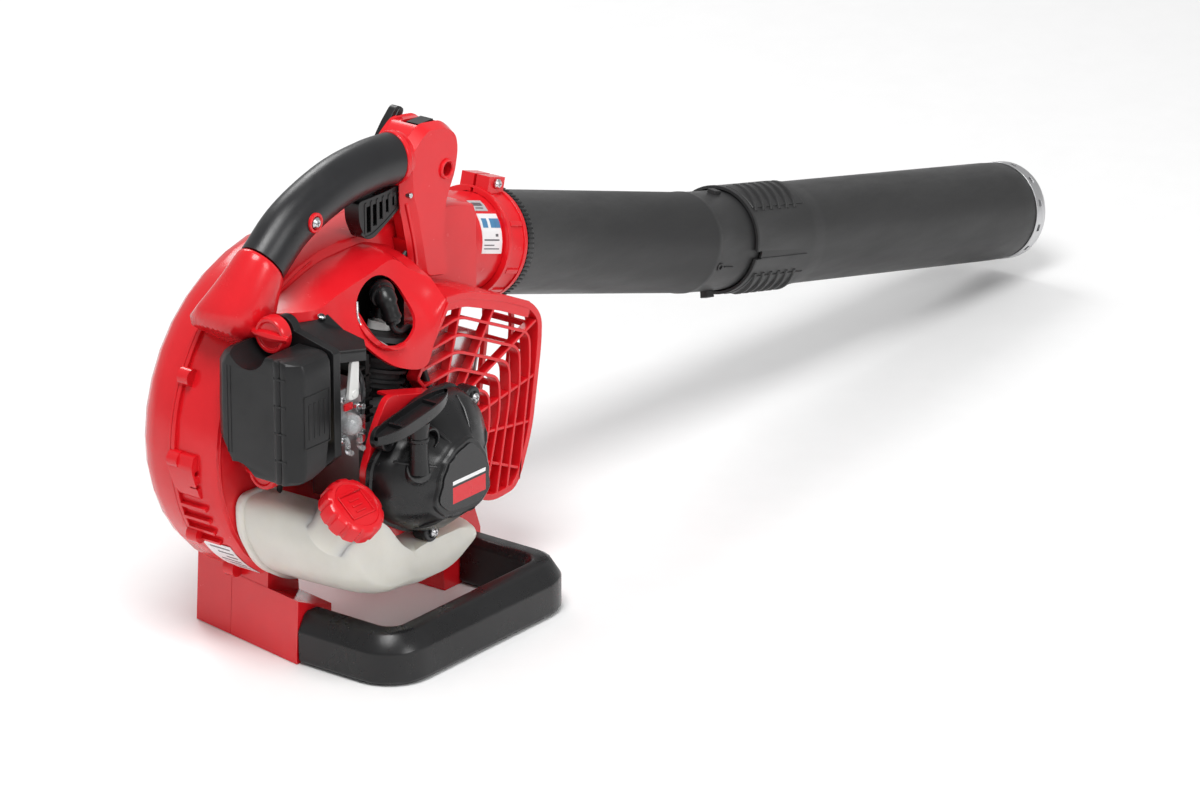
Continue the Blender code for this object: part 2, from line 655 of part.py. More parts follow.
add("starter_post", lathe([(0, -143.3), (6, -143.3), (6, -138.8), (3.8, -138.6),
                           (3.8, -109.8), (6.5, -109.6), (6.5, -108), (0, -108)],
                          START, (0, 1, 0), 20),
    (0.6, 0.6, 0.62), 0.3, 1.0)
spiral = []
for k in range(41):
    t = k / 40 * 4 * 2 * math.pi
    spiral.append((8 + 20 * k / 40, t))
band = []
for side in (0.35, -0.35):
    line = [((r + side) * math.cos(t), (r + side) * math.sin(t)) for r, t in spiral]
    band += line if side > 0 else line[::-1]
add("recoil_spring", loft([[(x, y, z + CRANK_Z) for x, z in band] for y in (-131, -124.3)]),
    (0.35, 0.35, 0.38), 0.3, 1.0)
badge = round_poly([(-26, 127), (20, 119), (25, 160), (4, 167)], 7, 3)
add("starter_badge", slab(badge, -149.2, -147.3), (0.03, 0.03, 0.03), 0.3)
BAR_DIR = Vector((0.987, 0, 0.16)).normalized()
bar_mid = Vector((ROPE[0] - 8, ROPE[1], 194))
bar_path = [bar_mid + BAR_DIR * s for s in (-38, -33, -18, 0, 18, 33, 38)]
t_bar = add("starter_handle", sweep(bar_path, [(4, 4), (6.5, 5.5), (7.5, 6.5), (8, 7), (7.5, 6.5),
                                               (6.5, 5.5), (4, 4)], 14), BLACK, 0.45)
boolean(t_bar, rod((ROPE[0], ROPE[1], 177.3), (ROPE[0], ROPE[1], 192), 6.2, 16), "UNION")
boolean(t_bar, rod((ROPE[0], ROPE[1], 170), (ROPE[0], ROPE[1], 189), 2.4, 16))
add("starter_rope", rod((ROPE[0], ROPE[1], 158), (ROPE[0], ROPE[1], 188.6), 2.1, 12),
    (0.85, 0.85, 0.83), 0.8)
for i, deg in enumerate((35, 268)):
    cx, cz = polar(52 + 3.5, deg)
    boolean(starter, rod((cx, -130, cz), (cx, -100, cz), 2.3, 16))
    screw(f"starter_screw_{i + 1}", (cx, -118.3, cz), (0, -1, 0), 3.6, 13.0)

# -------------------------------------------------- fuel tank and its fittings
TANK = [(-109, 129), (-109, 102), (-88, 67), (-55, 47), (-8, 40.5), (42, 48), (76, 68),
        (58, 83), (0, 86), (-46, 94), (-70, 128)]


def tank_loop(y, inset, lift, squeeze):
    loop = round_poly(offset(TANK, -inset), max(12 - inset, 3), 2)
    return [(-20 + (x + 20) * squeeze, y, z + lift) for x, z in loop]


tank_rows = [(-27, 0, 0, 1.0), (-31, 0, 0, 1.0), (-33, 3, 0, 1.0), (-70, 3, 0, 0.98),
             (-102, 4.5, 0, 0.94), (-112, 7, 0, 0.93), (-117, 12, 0, 0.92)]
tank = add("fuel_tank", loft([tank_loop(*r) for r in tank_rows]), (0.78, 0.76, 0.7), 0.35)
CAP_AXIS = Vector((0, -0.66, 0.75)).normalized()
NECK_AT = Vector((-86, -97, 112))
boolean(tank, rod(NECK_AT - CAP_AXIS * 5, NECK_AT + CAP_AXIS * 29, 16.5, 28), "UNION")
tank_in = [(-30, 2.5, 0, 1.0), (-36, 5.5, 0, 1.0), (-70, 5.5, 0, 0.98), (-100, 7.5, 0, 0.94),
           (-109, 9.5, 0, 0.93), (-114, 14, 0, 0.92)]
boolean(tank, loft([tank_loop(*r) for r in tank_in]))
boolean(tank, rod(NECK_AT - CAP_AXIS * 20.3, NECK_AT + CAP_AXIS * 33, 12.4, 22))
CAP_AT = NECK_AT + CAP_AXIS * 19
cap_loops = []
for r, hh in ((16.9, 0), (23.0, 0), (23.5, 12.5), (21, 15.6), (0.5, 16.2), (0.5, 12),
              (12.9, 12), (12.9, 10.6), (16.9, 10.6)):
    round_ring = ring(CAP_AT + CAP_AXIS * hh, CAP_AXIS, r, 30)
    notch_ring = ring(CAP_AT + CAP_AXIS * hh, CAP_AXIS, r - 1.4, 30)
    notched = r > 22
    cap_loops.append([notch_ring[i] if notched and i % 3 == 0 else round_ring[i]
                      for i in range(30)])
cap = add("fuel_cap", loft(cap_loops, closed=True), RED, 0.25)
boolean(cap, lathe([(0, 11.3), (3, 11.3), (3, 16), (0, 16)], CAP_AT, CAP_AXIS, 16), "UNION")
add("tank_filter", rod((-40, -80, 58), (-40, -62, 58), 6.5, 20), (0.7, 0.7, 0.66), 0.8)
line_in = smooth_path([Vector((-40, -61.4, 58)), Vector((-41, -56, 59)),
                       Vector((-50, -50, 68)), Vector((-72, -46, 92)),
                       Vector((-80, -45, 116)), Vector((-80, -45, 134)), Vector((-76, -52, 150)),
                       Vector((-66, -74, 161)), Vector((-64, -77, 166)),
                       Vector((-64, -77, 170.5))], 3)
add("fuel_line", sweep(line_in, 2.4, 8), (0.1, 0.1, 0.1), 0.4)
boolean(tank, rod((-80, -45, 110), (-80, -45, 140), 2.9, 16))

# --------------------------------------------------- carburettor, air cleaner
carb = add("carburettor", box(-75.4, -48, -95, -62, 171, 212), (0.5, 0.5, 0.5), 0.35, 1.0)
boolean(carb, rod((-90, -78, 192), (-30, -78, 192), 8, 24))
boolean(carb, rod((-66.5, -96, 186), (-66.5, -89, 186), 8.4, 28))
insul = add("inlet_insulator", loft([
    [(-47.7, -88, 180), (-47.7, -66, 180), (-47.7, -66, 206), (-47.7, -88, 206)],
    [(4, -61, 186), (4, -39, 186), (4, -39, 212), (4, -61, 212)]]), BLACK, 0.6)
boolean(insul, rod((-60.4, -84.9, 191), (6.4, -48.7, 199), 8, 20))
boolean(insul, rod(leaned(0, BARREL_Y, 0), leaned(0, BARREL_Y, 140), FIN_R + 0.4, 30))
add("primer_bulb", lathe([(0, -106.4), (4, -105.6), (7, -103), (8.1, -99), (8.1, -92),
                          (7.2, -92), (7.2, -99), (6, -102), (3.6, -104.2), (0, -105)],
                         (-66.5, 0, 186), (0, 1, 0), 20), (0.85, 0.87, 0.88), 0.1, 0.0, 0.6)
lever = add("choke_lever", slab(round_poly([(-68, 203), (-57, 203), (-56, 231), (-64, 232)],
                                           3, 3), -98.2, -95.4), (0.86, 0.86, 0.84), 0.4)
boolean(lever, rod((-62, -99, 207), (-62, -90, 207), 2.6, 16), "UNION")
boolean(carb, rod((-62, -99, 207), (-62, -89, 207), 2.7, 16))
arm = add("throttle_arm", slab(round_poly([(-57.6, 168), (-50, 168), (-50, 190), (-56, 190)],
                                          3, 3), -98, -95.4), (0.7, 0.7, 0.72), 0.3, 1.0)
boolean(arm, rod((-53.5, -96, 186.5), (-53.5, -91, 186.5), 2.0, 16), "UNION")
boolean(carb, rod((-53.5, -99, 186.5), (-53.5, -90, 186.5), 2.1, 16))

CLEAN = round_poly([(-27.5, 181), (-38, 163), (-98, 158), (-106, 166), (-106, 240),
                    (-100, 248), (-42, 249), (-27.5, 236)], 7, 3)


def in_yz(poly, x0, x1, inset=0.0):
    """Outline in y, z pushed along x; inset rounds the x0 edge."""
    rows = [(x0, offset(poly, -inset)), (x0 + inset * 0.4, offset(poly, -inset * 0.3)),
            (x0 + inset, poly), (x1, poly)] if inset else [(x0, poly), (x1, poly)]
    return loft([[(x, y, z) for y, z in loop] for x, loop in rows])


CLEAN = CLEAN[::-1]
cover = add("air_cleaner_cover", in_yz(CLEAN, -132, -92, 7), BLACK, 0.38)
boolean(cover, in_yz(offset(CLEAN, -2.5), -129, -80))
KNOBS = (("upper", -59.5, 254.0, 13.5), ("lower", -50.0, 150.0, 12.5))


def pocket(ky, kz, r, a0, a1):
    """Curved wall that closes a knob's pocket off from the filter."""
    turn = [math.radians(a0 + (a1 - a0) * k / 8) for k in range(9)]
    edge = [(ky + r * math.cos(t), kz + r * math.sin(t)) for t in turn]
    edge += [(ky + (r + 2.2) * math.cos(t), kz + (r + 2.2) * math.sin(t)) for t in turn[::-1]]
    return loft([[(x, y, z) for y, z in edge] for x in (-130.5, -92.5)])


for (_, ky, kz, kr), (a0, a1) in zip(KNOBS, ((200, 340), (56, 130))):
    boolean(cover, rod((-140, ky, kz), (-91, ky, kz), kr + 4, 20))
    boolean(cover, pocket(ky, kz, kr + 3.9, a0, a1), "UNION")
    boolean(cover, rod((-97, ky, kz), (-92.5, ky, kz), kr + 5.5, 20), "UNION")
    boolean(cover, rod((-99, ky, kz), (-90, ky, kz), 3.6, 16))
base = add("air_cleaner_base", in_yz(CLEAN, -91.7, -84), BLACK, 0.5)
boolean(base, in_yz(offset(CLEAN, -3), -88, -80))
boolean(base, box(-91.7, -84, -75.5, -44, 236, 268), "UNION")
boolean(base, box(-91.7, -84, -64, -37, 142, 168), "UNION")
boolean(base, box(-88.5, -75.7, -90, -66, 178, 206), "UNION")
boolean(base, rod((-99, -78, 192), (-70, -78, 192), 8, 24))
for key, ky, kz, kr in KNOBS:
    boolean(base, rod((-99, ky, kz), (-80, ky, kz), 3.4, 16))
    knob = add(f"air_cleaner_knob_{key}",
               lathe([(0, 0), (3.0, 0), (3.0, 12.9), (kr, 12.9), (kr, 22), (kr - 2, 25),
                      (0, 25)], (-84.5, ky, kz), (-1, 0, 0), 24), RED, 0.3)
    boolean(knob, box(-119, -106, ky - kr - 2.5, ky + kr + 2.5, kz - 2.6, kz + 2.6), "UNION")
add("air_filter", box(-127, -92.2, -99, -40, 179, 232), (0.75, 0.68, 0.5), 0.9)
CANOPY = [(-83.6, -37, 250), (-60, -63.5, 253.5), (-52, -67, 256), (-46, -76, 245),
          (-36, -86, 237), (-50, -99.5, 237.5), (-83.6, -102.5, 247)]
add("carburettor_hood", loft([[(x, y, z + dz) for x, y, z in CANOPY] for dz in (-2.6, 0)]),
    BLACK, 0.45)

# ----------------------------------------------------------------- base stand
def rounded_u():
    """Outer edge of the stand on the ground, from the rear foot to the front."""
    out, r = [], 34.0
    pts = [(-82.0, -59.3), (-82.0, -150.0), (127.5, -150.0), (127.5, -57.3)]
    out.append(pts[0])
    for k in range(7):
        a = math.pi + k * math.pi / 12
        out.append((pts[1][0] + r + r * math.cos(a), pts[1][1] + r + r * math.sin(a)))
    for k in range(7):
        a = 1.5 * math.pi + k * math.pi / 12
        out.append((pts[2][0] - r + r * math.cos(a), pts[2][1] + r + r * math.sin(a)))
    out.append(pts[3])
    return out


def bar_section():
    """Bar cross-section: (in from the outer edge, height)."""
    w, hh = BAR_W, BAR_H
    return [(0, 3), (3, 0), (w - 3, 0), (w, 3), (w, hh - 5), (w - 4, hh), (11, hh),
            (7, hh - 2), (0, hh - 13)]


edge = rounded_u()
rows = []
for i, (x, y) in enumerate(edge):
    p = Vector(edge[max(i - 1, 0)])
    q = Vector(edge[min(i + 1, len(edge) - 1)])
    d = (q - p).normalized()
    nx, ny = -d.y, d.x
    rows.append([(x + nx * w, y + ny * w, z) for w, z in bar_section()])
add("base_stand", loft(rows), BLACK, 0.42)

# --------------------------------------------------------------------- handle
grip_line = smooth_path([Vector((-78, GRIP_Y, 292)), Vector((-47, GRIP_Y, 314)),
                         Vector((-3, GRIP_Y, 329)), Vector((36, GRIP_Y, 333)),
                         Vector((62, GRIP_Y, 332))], 3)
POST = round_poly([(62.4, 312), (113, 312), (107, 284), (108, 262), (114, 230.2),
                   (84, 239.4), (72, 241.4), (71, 262)][::-1], 6, 3)
frame = add("handle_frame", slab([p for p in POST], -46, CASE_Y0 - GAP), RED, 0.3)
UPPER = round_poly([(62.4, 294), (62.4, 340), (84, 353), (110, 348), (121, 340), (122, 326),
                    (113, 294)][::-1], 6, 3)
boolean(frame, slab(offset(UPPER, 0.2), -46.2, -14), "UNION")
core_line = [Vector((-92, GRIP_Y, 281))] + grip_line + [Vector((70, GRIP_Y, 331.5))]
boolean(frame, sweep(core_line, [(11, 14)] * len(core_line), 12), "UNION")
root_low = [(-118, -25.8, 236), (-70, -25.8, 262), (-70, 13.4, 262), (-118, 13.4, 236)]
root_top = [(-90.6, GRIP_Y - 15, 307), (-67.3, GRIP_Y - 15, 275.3),
            (-67.3, GRIP_Y + 15, 275.3), (-90.6, GRIP_Y + 15, 307)]
root_mid = [(-110, -43, 276), (-70, -43, 264), (-70, 0, 264), (-110, 0, 276)]
boolean(frame, loft([root_low, root_mid, root_top]), "UNION")
boolean(frame, shell(-GAP, (CASE_Y0 - GAP, CASE_Y0 + 2, CASE_Y0 + 7, 70), (7, 2.2, 0, 0)))
boolean(frame, box(-99, -66, -70, CASE_Y0 - 0.1, 190, 261.2))
boolean(frame, box(-66.2, 61, -70, CASE_Y0 - 0.1, 190, 280))
boolean(frame, rod((106, -60, 316), (106, 0, 316), 5.0, 24))
grip = add("handle_grip", sweep(grip_line, [(16.5, 19)] * len(grip_line), 16,
                                [(11.3, 14.3)] * len(grip_line)), BLACK, 0.6)
slot_box = box(17, 62, -37.3, -22.7, 270, 322)
boolean(grip, slot_box)
boolean(frame, box(17, 75, -37.3, -22.7, 270, 322))
trig = add("throttle_trigger", slab(round_poly([(19, 312), (20, 296), (27, 282), (36, 281),
                                                (66, 296), (72, 304), (70, 314), (50, 312)],
                                               4, 3), -36.6, -23.4), BLACK, 0.5)
for k in range(5):
    x0 = 28 + k * 7.2
    boolean(trig, box(x0, x0 + 4.6, -40, -32, 287 + k * 3.2, 306))
boolean(trig, rod((67, -50, 306), (67, 0, 306), 2.15, 16))
add("trigger_pin", rod((67, -45.6, 306), (67, -14.4, 306), 2.0, 16), (0.6, 0.6, 0.62), 0.3, 1.0)
boolean(frame, rod((67, -60, 306), (67, 0, 306), 2.1, 16))
cruise = add("throttle_lock_lever", slab(round_poly([(74, 326), (84, 322), (92, 330), (90, 344),
                                                     (100, 356), (92, 361), (80, 350),
                                                     (70, 338)], 4, 3), -13.6, -7), BLACK, 0.5)
boolean(cruise, rod((84, -22, 331), (84, -10, 331), 4.0, 20), "UNION")
boolean(frame, rod((84, -22.3, 331), (84, -5, 331), 4.1, 20))
boolean(frame, box(84, 108, -38, -22.6, 342, 360))
switch = add("ignition_switch", box(88, 104, -36, -24.6, 345.4, 352), BLACK, 0.4)
boolean(switch, rod((96, -37.6, 345.6), (96, -23, 345.6), 3.0, 20), "UNION")
boolean(frame, rod((96, -37.7, 345.6), (96, -22.8, 345.6), 3.3, 20))
cable = smooth_path([Vector((78, -34, 300)), Vector((80, -36, 274)), Vector((66, -36, 256)),
                     Vector((40, -35, 250)), Vector((0, -34, 250)), Vector((-34, -44, 240)),
                     Vector((-45, -74, 226)), Vector((-50, -92, 219)), Vector((-55, -100.3, 209)),
                     Vector((-56, -100.3, 191))], 3)
add("throttle_cable", sweep(cable, 1.8, 8), BLACK, 0.5)
boolean(frame, sweep(cable[:9], 2.6, 8))
screw("grip_screw", (-40, GRIP_Y - 16.7, 315.5), (0, -1, 0), 4.2, 9.0)
boolean(grip, rod((-40, -60, 315.5), (-40, GRIP_Y - 8, 315.5), 2.4, 16))
boolean(frame, rod((-40, -60, 315.5), (-40, GRIP_Y + 4, 315.5), 2.3, 16))

# ------------------------------------------------------- outlet and blow pipe
collar = add("outlet_clamp", lathe([(NECK_R + GAP, -20), (41.4, -20), (41.4, -15), (40.6, -14),
                                    (40.6, -2), (41.8, 0), (41.8, 3), (NECK_R + GAP, 3)],
                                   MOUTH, PIPE_DIR, 26), RED, 0.3)


def on_pipe(s, y, u):
    """Point at s along the outlet axis, y across, u above it."""
    return MOUTH + PIPE_DIR * s + Vector((0, y, 0)) + LEAN_UP * u


def pipe_box(s0, s1, y0, y1, u0, u1):
    lower = [(s0, y0), (s1, y0), (s1, y1), (s0, y1)]
    return loft([[on_pipe(s, y, u) for s, y in lower] for u in (u0, u1)])


boolean(collar, pipe_box(-18, 1, -13, 13, 38.5, 51), "UNION")
boolean(collar, pipe_box(-30, 9, -1.2, 1.2, 30, 60))
boolean(collar, rod(on_pipe(-8.5, -20, 46), on_pipe(-8.5, 20, 46), 2.3, 16))
screw("clamp_screw", on_pipe(-8.5, -13.3, 46), (0, -1, 0), 3.8, 25.0)


def tube(profile_out, wall, origin, axis, n=48):
    """Thin round tube from an outer (r, h) line."""
    back = [(r - wall, hh) for r, hh in profile_out[::-1]]
    return lathe(profile_out + back, origin, axis, n)


def bend_path(stations):
    """Centre line of the rear pipe: straight, then a slight bend at its end."""
    out, p, last = [], MOUTH + PIPE_DIR * stations[0], stations[0]
    for s in stations:
        k = min(1.0, max(0.0, (s - 262) / 24))
        d = (PIPE_DIR * (1 - k) + FRONT_DIR * k).normalized()
        p = p + d * (s - last)
        last = s
        out.append(p)
    return out


STATIONS = [-18, 3.4, 3.8, 6, 262, 274, 286, 302, 334]
OUTER = [34.0, 34.0, 38.4, 39, 39, 39, 39, 39, 39]
rear_line = bend_path(STATIONS)
INNER = [32.0, 32.0, 33.4, 35.5, 37, 37, 37, 37, 37]
rear = add("rear_blow_pipe", sweep(rear_line, OUTER, 30, INNER), GREY, 0.38)
SEAM = rear_line[STATIONS.index(302)]
for deg in (90, 250):
    t = math.radians(deg)
    o = Vector((0, math.cos(t), 0)) + LEAN_UP * math.sin(t)
    lug = [MOUTH + PIPE_DIR * s + o * 38.2 + w for s, w in
           ((282, Vector((0, 3, 0))), (282, Vector((0, -3, 0))), (290, Vector((0, -3, 0))),
            (290, Vector((0, 3, 0))))]
    boolean(rear, loft([lug, [q + o * 4.4 for q in lug]]), "UNION")
front = add("front_blow_pipe", tube([(FRONT_R0, 0), (FRONT_R0 - 0.2, 78), (FRONT_R1, 96),
                                     (FRONT_R1, FRONT_PIPE_LEN - 18), (39.4, FRONT_PIPE_LEN)],
                                    PIPE_WALL, SEAM, FRONT_DIR, 30), GREY, 0.38)
pads = []
for deg in (75, 255):
    for k in range(5):
        t = math.radians(deg)
        s0 = 8 + k * 12
        o = Vector((0, math.cos(t), 0)) + Vector((math.sin(FRONT_PITCH), 0,
                                                  math.cos(FRONT_PITCH))) * math.sin(t)
        w = FRONT_DIR.cross(o)
        q = [SEAM + FRONT_DIR * s + o * 40.9 + w * e for s, e in
             ((s0, 16), (s0, -16), (s0 + 6, -16), (s0 + 6, 16))]
        pads.append(loft([q, [v + o * 4.4 - w * (v - SEAM).dot(w) * 0.35 for v in q]]))
boolean(front, merge(*pads), "UNION")
tip = SEAM + FRONT_DIR * FRONT_PIPE_LEN
add("nozzle_ring", lathe([(35.9, -16), (36.8, -16), (36.9, 0.4), (40.2, 0.4), (40.4, 12),
                          (39.2, 15), (35.9, 15)], tip, FRONT_DIR, 30), (0.6, 0.6, 0.62), 0.3, 1.0)

# --------------------------------------------------------------------- labels
def curved_label(s0, s1, a0, a1, r):
    rows = []
    for a in range(7):
        t = math.radians(a0 + (a1 - a0) * a / 6)
        o = Vector((0, math.cos(t), 0)) + LEAN_UP * math.sin(t)
        rows.append([MOUTH + PIPE_DIR * s + o * rr for s, rr in
                     ((s0, r), (s1, r), (s1, r + 0.3), (s0, r + 0.3))])
    return loft(rows)


add("warning_label", curved_label(-44, -22, 164, 214, NECK_R + 0.15), (0.85, 0.85, 0.85), 0.4)
add("maker_label", curved_label(-44, -26, 138, 160, NECK_R + 0.15), (0.6, 0.6, 0.6), 0.4)

# -------------------------------------------------- origins on the joint axes
FRONT_PIVOT = tuple(SEAM)
JOINT_AT = {
    "crankshaft": START, "fan_wheel": START, "fan_nut": START, "flywheel": START,
    "starter_reel": START,
    "starter_handle": (ROPE[0], ROPE[1], 158), "starter_rope": (ROPE[0], ROPE[1], 158),
    "throttle_trigger": (67, GRIP_Y, 306), "throttle_lock_lever": (84, -10.3, 331),
    "ignition_switch": (96, -30.3, 345.6), "throttle_arm": (-53.5, -96, 186.5),
    "choke_lever": (-62, -96, 207), "primer_bulb": (-66.5, -92, 186),
    "fuel_cap": tuple(CAP_AT), "air_cleaner_cover": (-91.7, -60, 205),
    "air_cleaner_knob_upper": (-84.5, KNOBS[0][1], KNOBS[0][2]),
    "air_cleaner_knob_lower": (-84.5, KNOBS[1][1], KNOBS[1][2]),
    "front_blow_pipe": FRONT_PIVOT, "nozzle_ring": FRONT_PIVOT,
}
for name, (x, y, z) in JOINT_AT.items():
    ob = main.objects[name]
    pivot = Vector(((x + SHIFT_X) * MM, (y + SHIFT_Y) * MM, z * MM))
    for vertex in ob.data.vertices:
        vertex.co -= pivot
    ob.location = pivot
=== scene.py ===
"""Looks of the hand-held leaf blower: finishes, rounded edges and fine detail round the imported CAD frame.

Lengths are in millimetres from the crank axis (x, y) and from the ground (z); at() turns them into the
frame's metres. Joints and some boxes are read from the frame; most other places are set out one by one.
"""
import json
import math

import bmesh
import bpy
from mathutils import Matrix, Vector
from mathutils.bvhtree import BVHTree


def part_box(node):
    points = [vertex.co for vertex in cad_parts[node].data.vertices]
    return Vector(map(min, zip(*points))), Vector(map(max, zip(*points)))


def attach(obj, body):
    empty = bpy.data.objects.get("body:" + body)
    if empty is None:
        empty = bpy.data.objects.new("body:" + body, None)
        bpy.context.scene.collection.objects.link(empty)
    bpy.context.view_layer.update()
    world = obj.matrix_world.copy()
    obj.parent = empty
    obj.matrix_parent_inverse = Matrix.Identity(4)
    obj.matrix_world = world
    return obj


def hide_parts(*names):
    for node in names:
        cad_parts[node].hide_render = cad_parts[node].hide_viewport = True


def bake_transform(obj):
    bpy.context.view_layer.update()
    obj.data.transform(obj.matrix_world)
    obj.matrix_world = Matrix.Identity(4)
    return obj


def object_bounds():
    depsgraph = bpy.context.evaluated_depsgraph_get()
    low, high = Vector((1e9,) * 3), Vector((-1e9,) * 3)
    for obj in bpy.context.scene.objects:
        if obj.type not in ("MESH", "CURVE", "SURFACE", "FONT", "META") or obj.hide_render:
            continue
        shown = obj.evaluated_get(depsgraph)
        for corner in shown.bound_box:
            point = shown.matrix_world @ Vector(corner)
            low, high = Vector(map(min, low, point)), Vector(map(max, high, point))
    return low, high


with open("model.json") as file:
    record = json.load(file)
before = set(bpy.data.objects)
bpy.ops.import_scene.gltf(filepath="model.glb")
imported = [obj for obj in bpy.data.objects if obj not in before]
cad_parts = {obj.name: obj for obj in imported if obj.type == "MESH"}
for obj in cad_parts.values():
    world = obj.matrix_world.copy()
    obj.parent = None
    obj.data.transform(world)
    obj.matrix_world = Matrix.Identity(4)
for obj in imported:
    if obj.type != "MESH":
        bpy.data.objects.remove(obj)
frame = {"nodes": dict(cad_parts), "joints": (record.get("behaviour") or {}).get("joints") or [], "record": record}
cad_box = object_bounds()
NODES = frame["nodes"]
JOINTS = {j["name"]: j for j in frame["joints"]}
BODY_OF = {n: b for b, ns in frame["record"]["behaviour"]["bodies"].items() for n in ns}
SLOT_OF = {s["node"]: s["material_slot"] for s in frame["record"]["subparts"]}

MM = 0.001
CRANK_X, CRANK_Y, CRANK_UP = JOINTS["crank_spin"]["pos_m"]
CRANK_Z = CRANK_UP / MM


def at(x, y, z):
    """A point in millimetres from the crank axis and the ground, in the frame's metres."""
    return Vector((CRANK_X + x * MM, CRANK_Y + y * MM, z * MM))


def mm(point):
    """The reverse of at()."""
    return Vector(((point[0] - CRANK_X) / MM, (point[1] - CRANK_Y) / MM, point[2] / MM))


def corners(node):
    """A node's box in millimetres."""
    lo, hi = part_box(node)
    return mm(lo), mm(hi)


# ---------------------------------------------------------------- camera, light, floor
CAMERA_AT = at(-3042.4, -2598.5, 1680.9)
CAMERA_TURN = (math.radians(69.174), 0.0, math.radians(-52.515))
CAMERA_LENS = 180.0

cam = bpy.data.objects.new("camera", bpy.data.cameras.new("camera"))
bpy.context.scene.collection.objects.link(cam)
cam.location = CAMERA_AT
cam.rotation_euler = CAMERA_TURN
cam.data.lens = CAMERA_LENS
cam.data.clip_end = 100
bpy.context.scene.camera = cam
bpy.context.scene.view_settings.view_transform = "Standard"


def area_light(name, place, target, size, power, colour=(1, 1, 1)):
    lamp = bpy.data.lights.new(name, "AREA")
    lamp.shape = "DISK"
    lamp.size = size
    lamp.energy = power
    lamp.color = colour
    ob = bpy.data.objects.new(name, lamp)
    bpy.context.scene.collection.objects.link(ob)
    ob.location = place
    ob.rotation_euler = (Vector(target) - Vector(place)).to_track_quat("-Z", "Y").to_euler()


MIDDLE = (cad_box[0] + cad_box[1]) / 2
area_light("key", MIDDLE + Vector((-1.2, -0.5, 2.3)), MIDDLE, 1.2, 44)
area_light("side", MIDDLE + Vector((-0.6, -2.6, 1.3)), MIDDLE, 1.1, 23)
area_light("back", MIDDLE + Vector((0.9, 1.9, 1.8)), MIDDLE, 1.2, 22)

world = bpy.data.worlds.new("studio")
world.use_nodes = True
world.node_tree.nodes["Background"].inputs["Color"].default_value = (1, 1, 1, 1)
world.node_tree.nodes["Background"].inputs["Strength"].default_value = 0.50
bpy.context.scene.world = world


# ---------------------------------------------------------------- materials
def nodes_of(material):
    material.use_nodes = True
    tree = material.node_tree
    return tree, tree.nodes["Principled BSDF"]


def noise(tree, where, scale, detail=4.0, rough=0.55):
    n = tree.nodes.new("ShaderNodeTexNoise")
    n.inputs["Scale"].default_value = scale
    n.inputs["Detail"].default_value = detail
    n.inputs["Roughness"].default_value = rough
    tree.links.new(where, n.inputs["Vector"])
    return n.outputs["Fac"]


def spread(tree, value, low, high, start=0.3, end=0.7):
    """Map a 0..1 texture onto a range."""
    n = tree.nodes.new("ShaderNodeMapRange")
    n.inputs["From Min"].default_value = start
    n.inputs["From Max"].default_value = end
    n.inputs["To Min"].default_value = low
    n.inputs["To Max"].default_value = high
    tree.links.new(value, n.inputs["Value"])
    return n.outputs["Result"]


def mix(tree, factor, a, b):
    n = tree.nodes.new("ShaderNodeMix")
    n.data_type = "RGBA"
    n.inputs["A"].default_value = (*a, 1)
    n.inputs["B"].default_value = (*b, 1)
    tree.links.new(factor, n.inputs["Factor"])
    return n.outputs["Result"]


def bump(tree, height, strength, distance, under=None):
    n = tree.nodes.new("ShaderNodeBump")
    n.inputs["Strength"].default_value = strength
    n.inputs["Distance"].default_value = distance
    tree.links.new(height, n.inputs["Height"])
    if under:
        tree.links.new(under, n.inputs["Normal"])
    return n.outputs["Normal"]


def place_of(tree, stretch=(1, 1, 1), turn=(0, 0, 0)):
    coord = tree.nodes.new("ShaderNodeTexCoord")
    m = tree.nodes.new("ShaderNodeMapping")
    m.inputs["Scale"].default_value = stretch
    m.inputs["Rotation"].default_value = turn
    tree.links.new(coord.outputs["Object"], m.inputs["Vector"])
    return m.outputs["Vector"]


def moulded(name, colour, rough, grain=0.25, grain_size=1600, dirt=0.12, wave=0.08, metal=0.0,
            coat=0.0, stretch=(1, 1, 1), turn=(0, 0, 0), shift=0.07, shine=0.5):
    """Moulded, cast or painted surface: uneven colour, uneven gloss, fine grain and slow waviness."""
    m = bpy.data.materials.new(name)
    tree, p = nodes_of(m)
    where = place_of(tree, stretch, turn)
    cloud = noise(tree, where, 22, 5, 0.6)
    speck = noise(tree, where, grain_size, 2, 0.5)
    darker = tuple(c * (1 - dirt) for c in colour)
    lighter = tuple(min(1.0, c * (1 + dirt * 0.6) + 0.002) for c in colour)
    tree.links.new(mix(tree, spread(tree, cloud, 0, 1), darker, lighter), p.inputs["Base Color"])
    tree.links.new(spread(tree, noise(tree, where, 60, 6, 0.65), rough - shift, rough + shift),
                   p.inputs["Roughness"])
    fine = bump(tree, speck, grain, 0.0002)
    tree.links.new(bump(tree, noise(tree, where, 35, 2), wave, 0.002, fine), p.inputs["Normal"])
    p.inputs["Metallic"].default_value = metal
    p.inputs["Specular IOR Level"].default_value = shine
    p.inputs["Coat Weight"].default_value = coat
    p.inputs["Coat Roughness"].default_value = 0.12
    return m


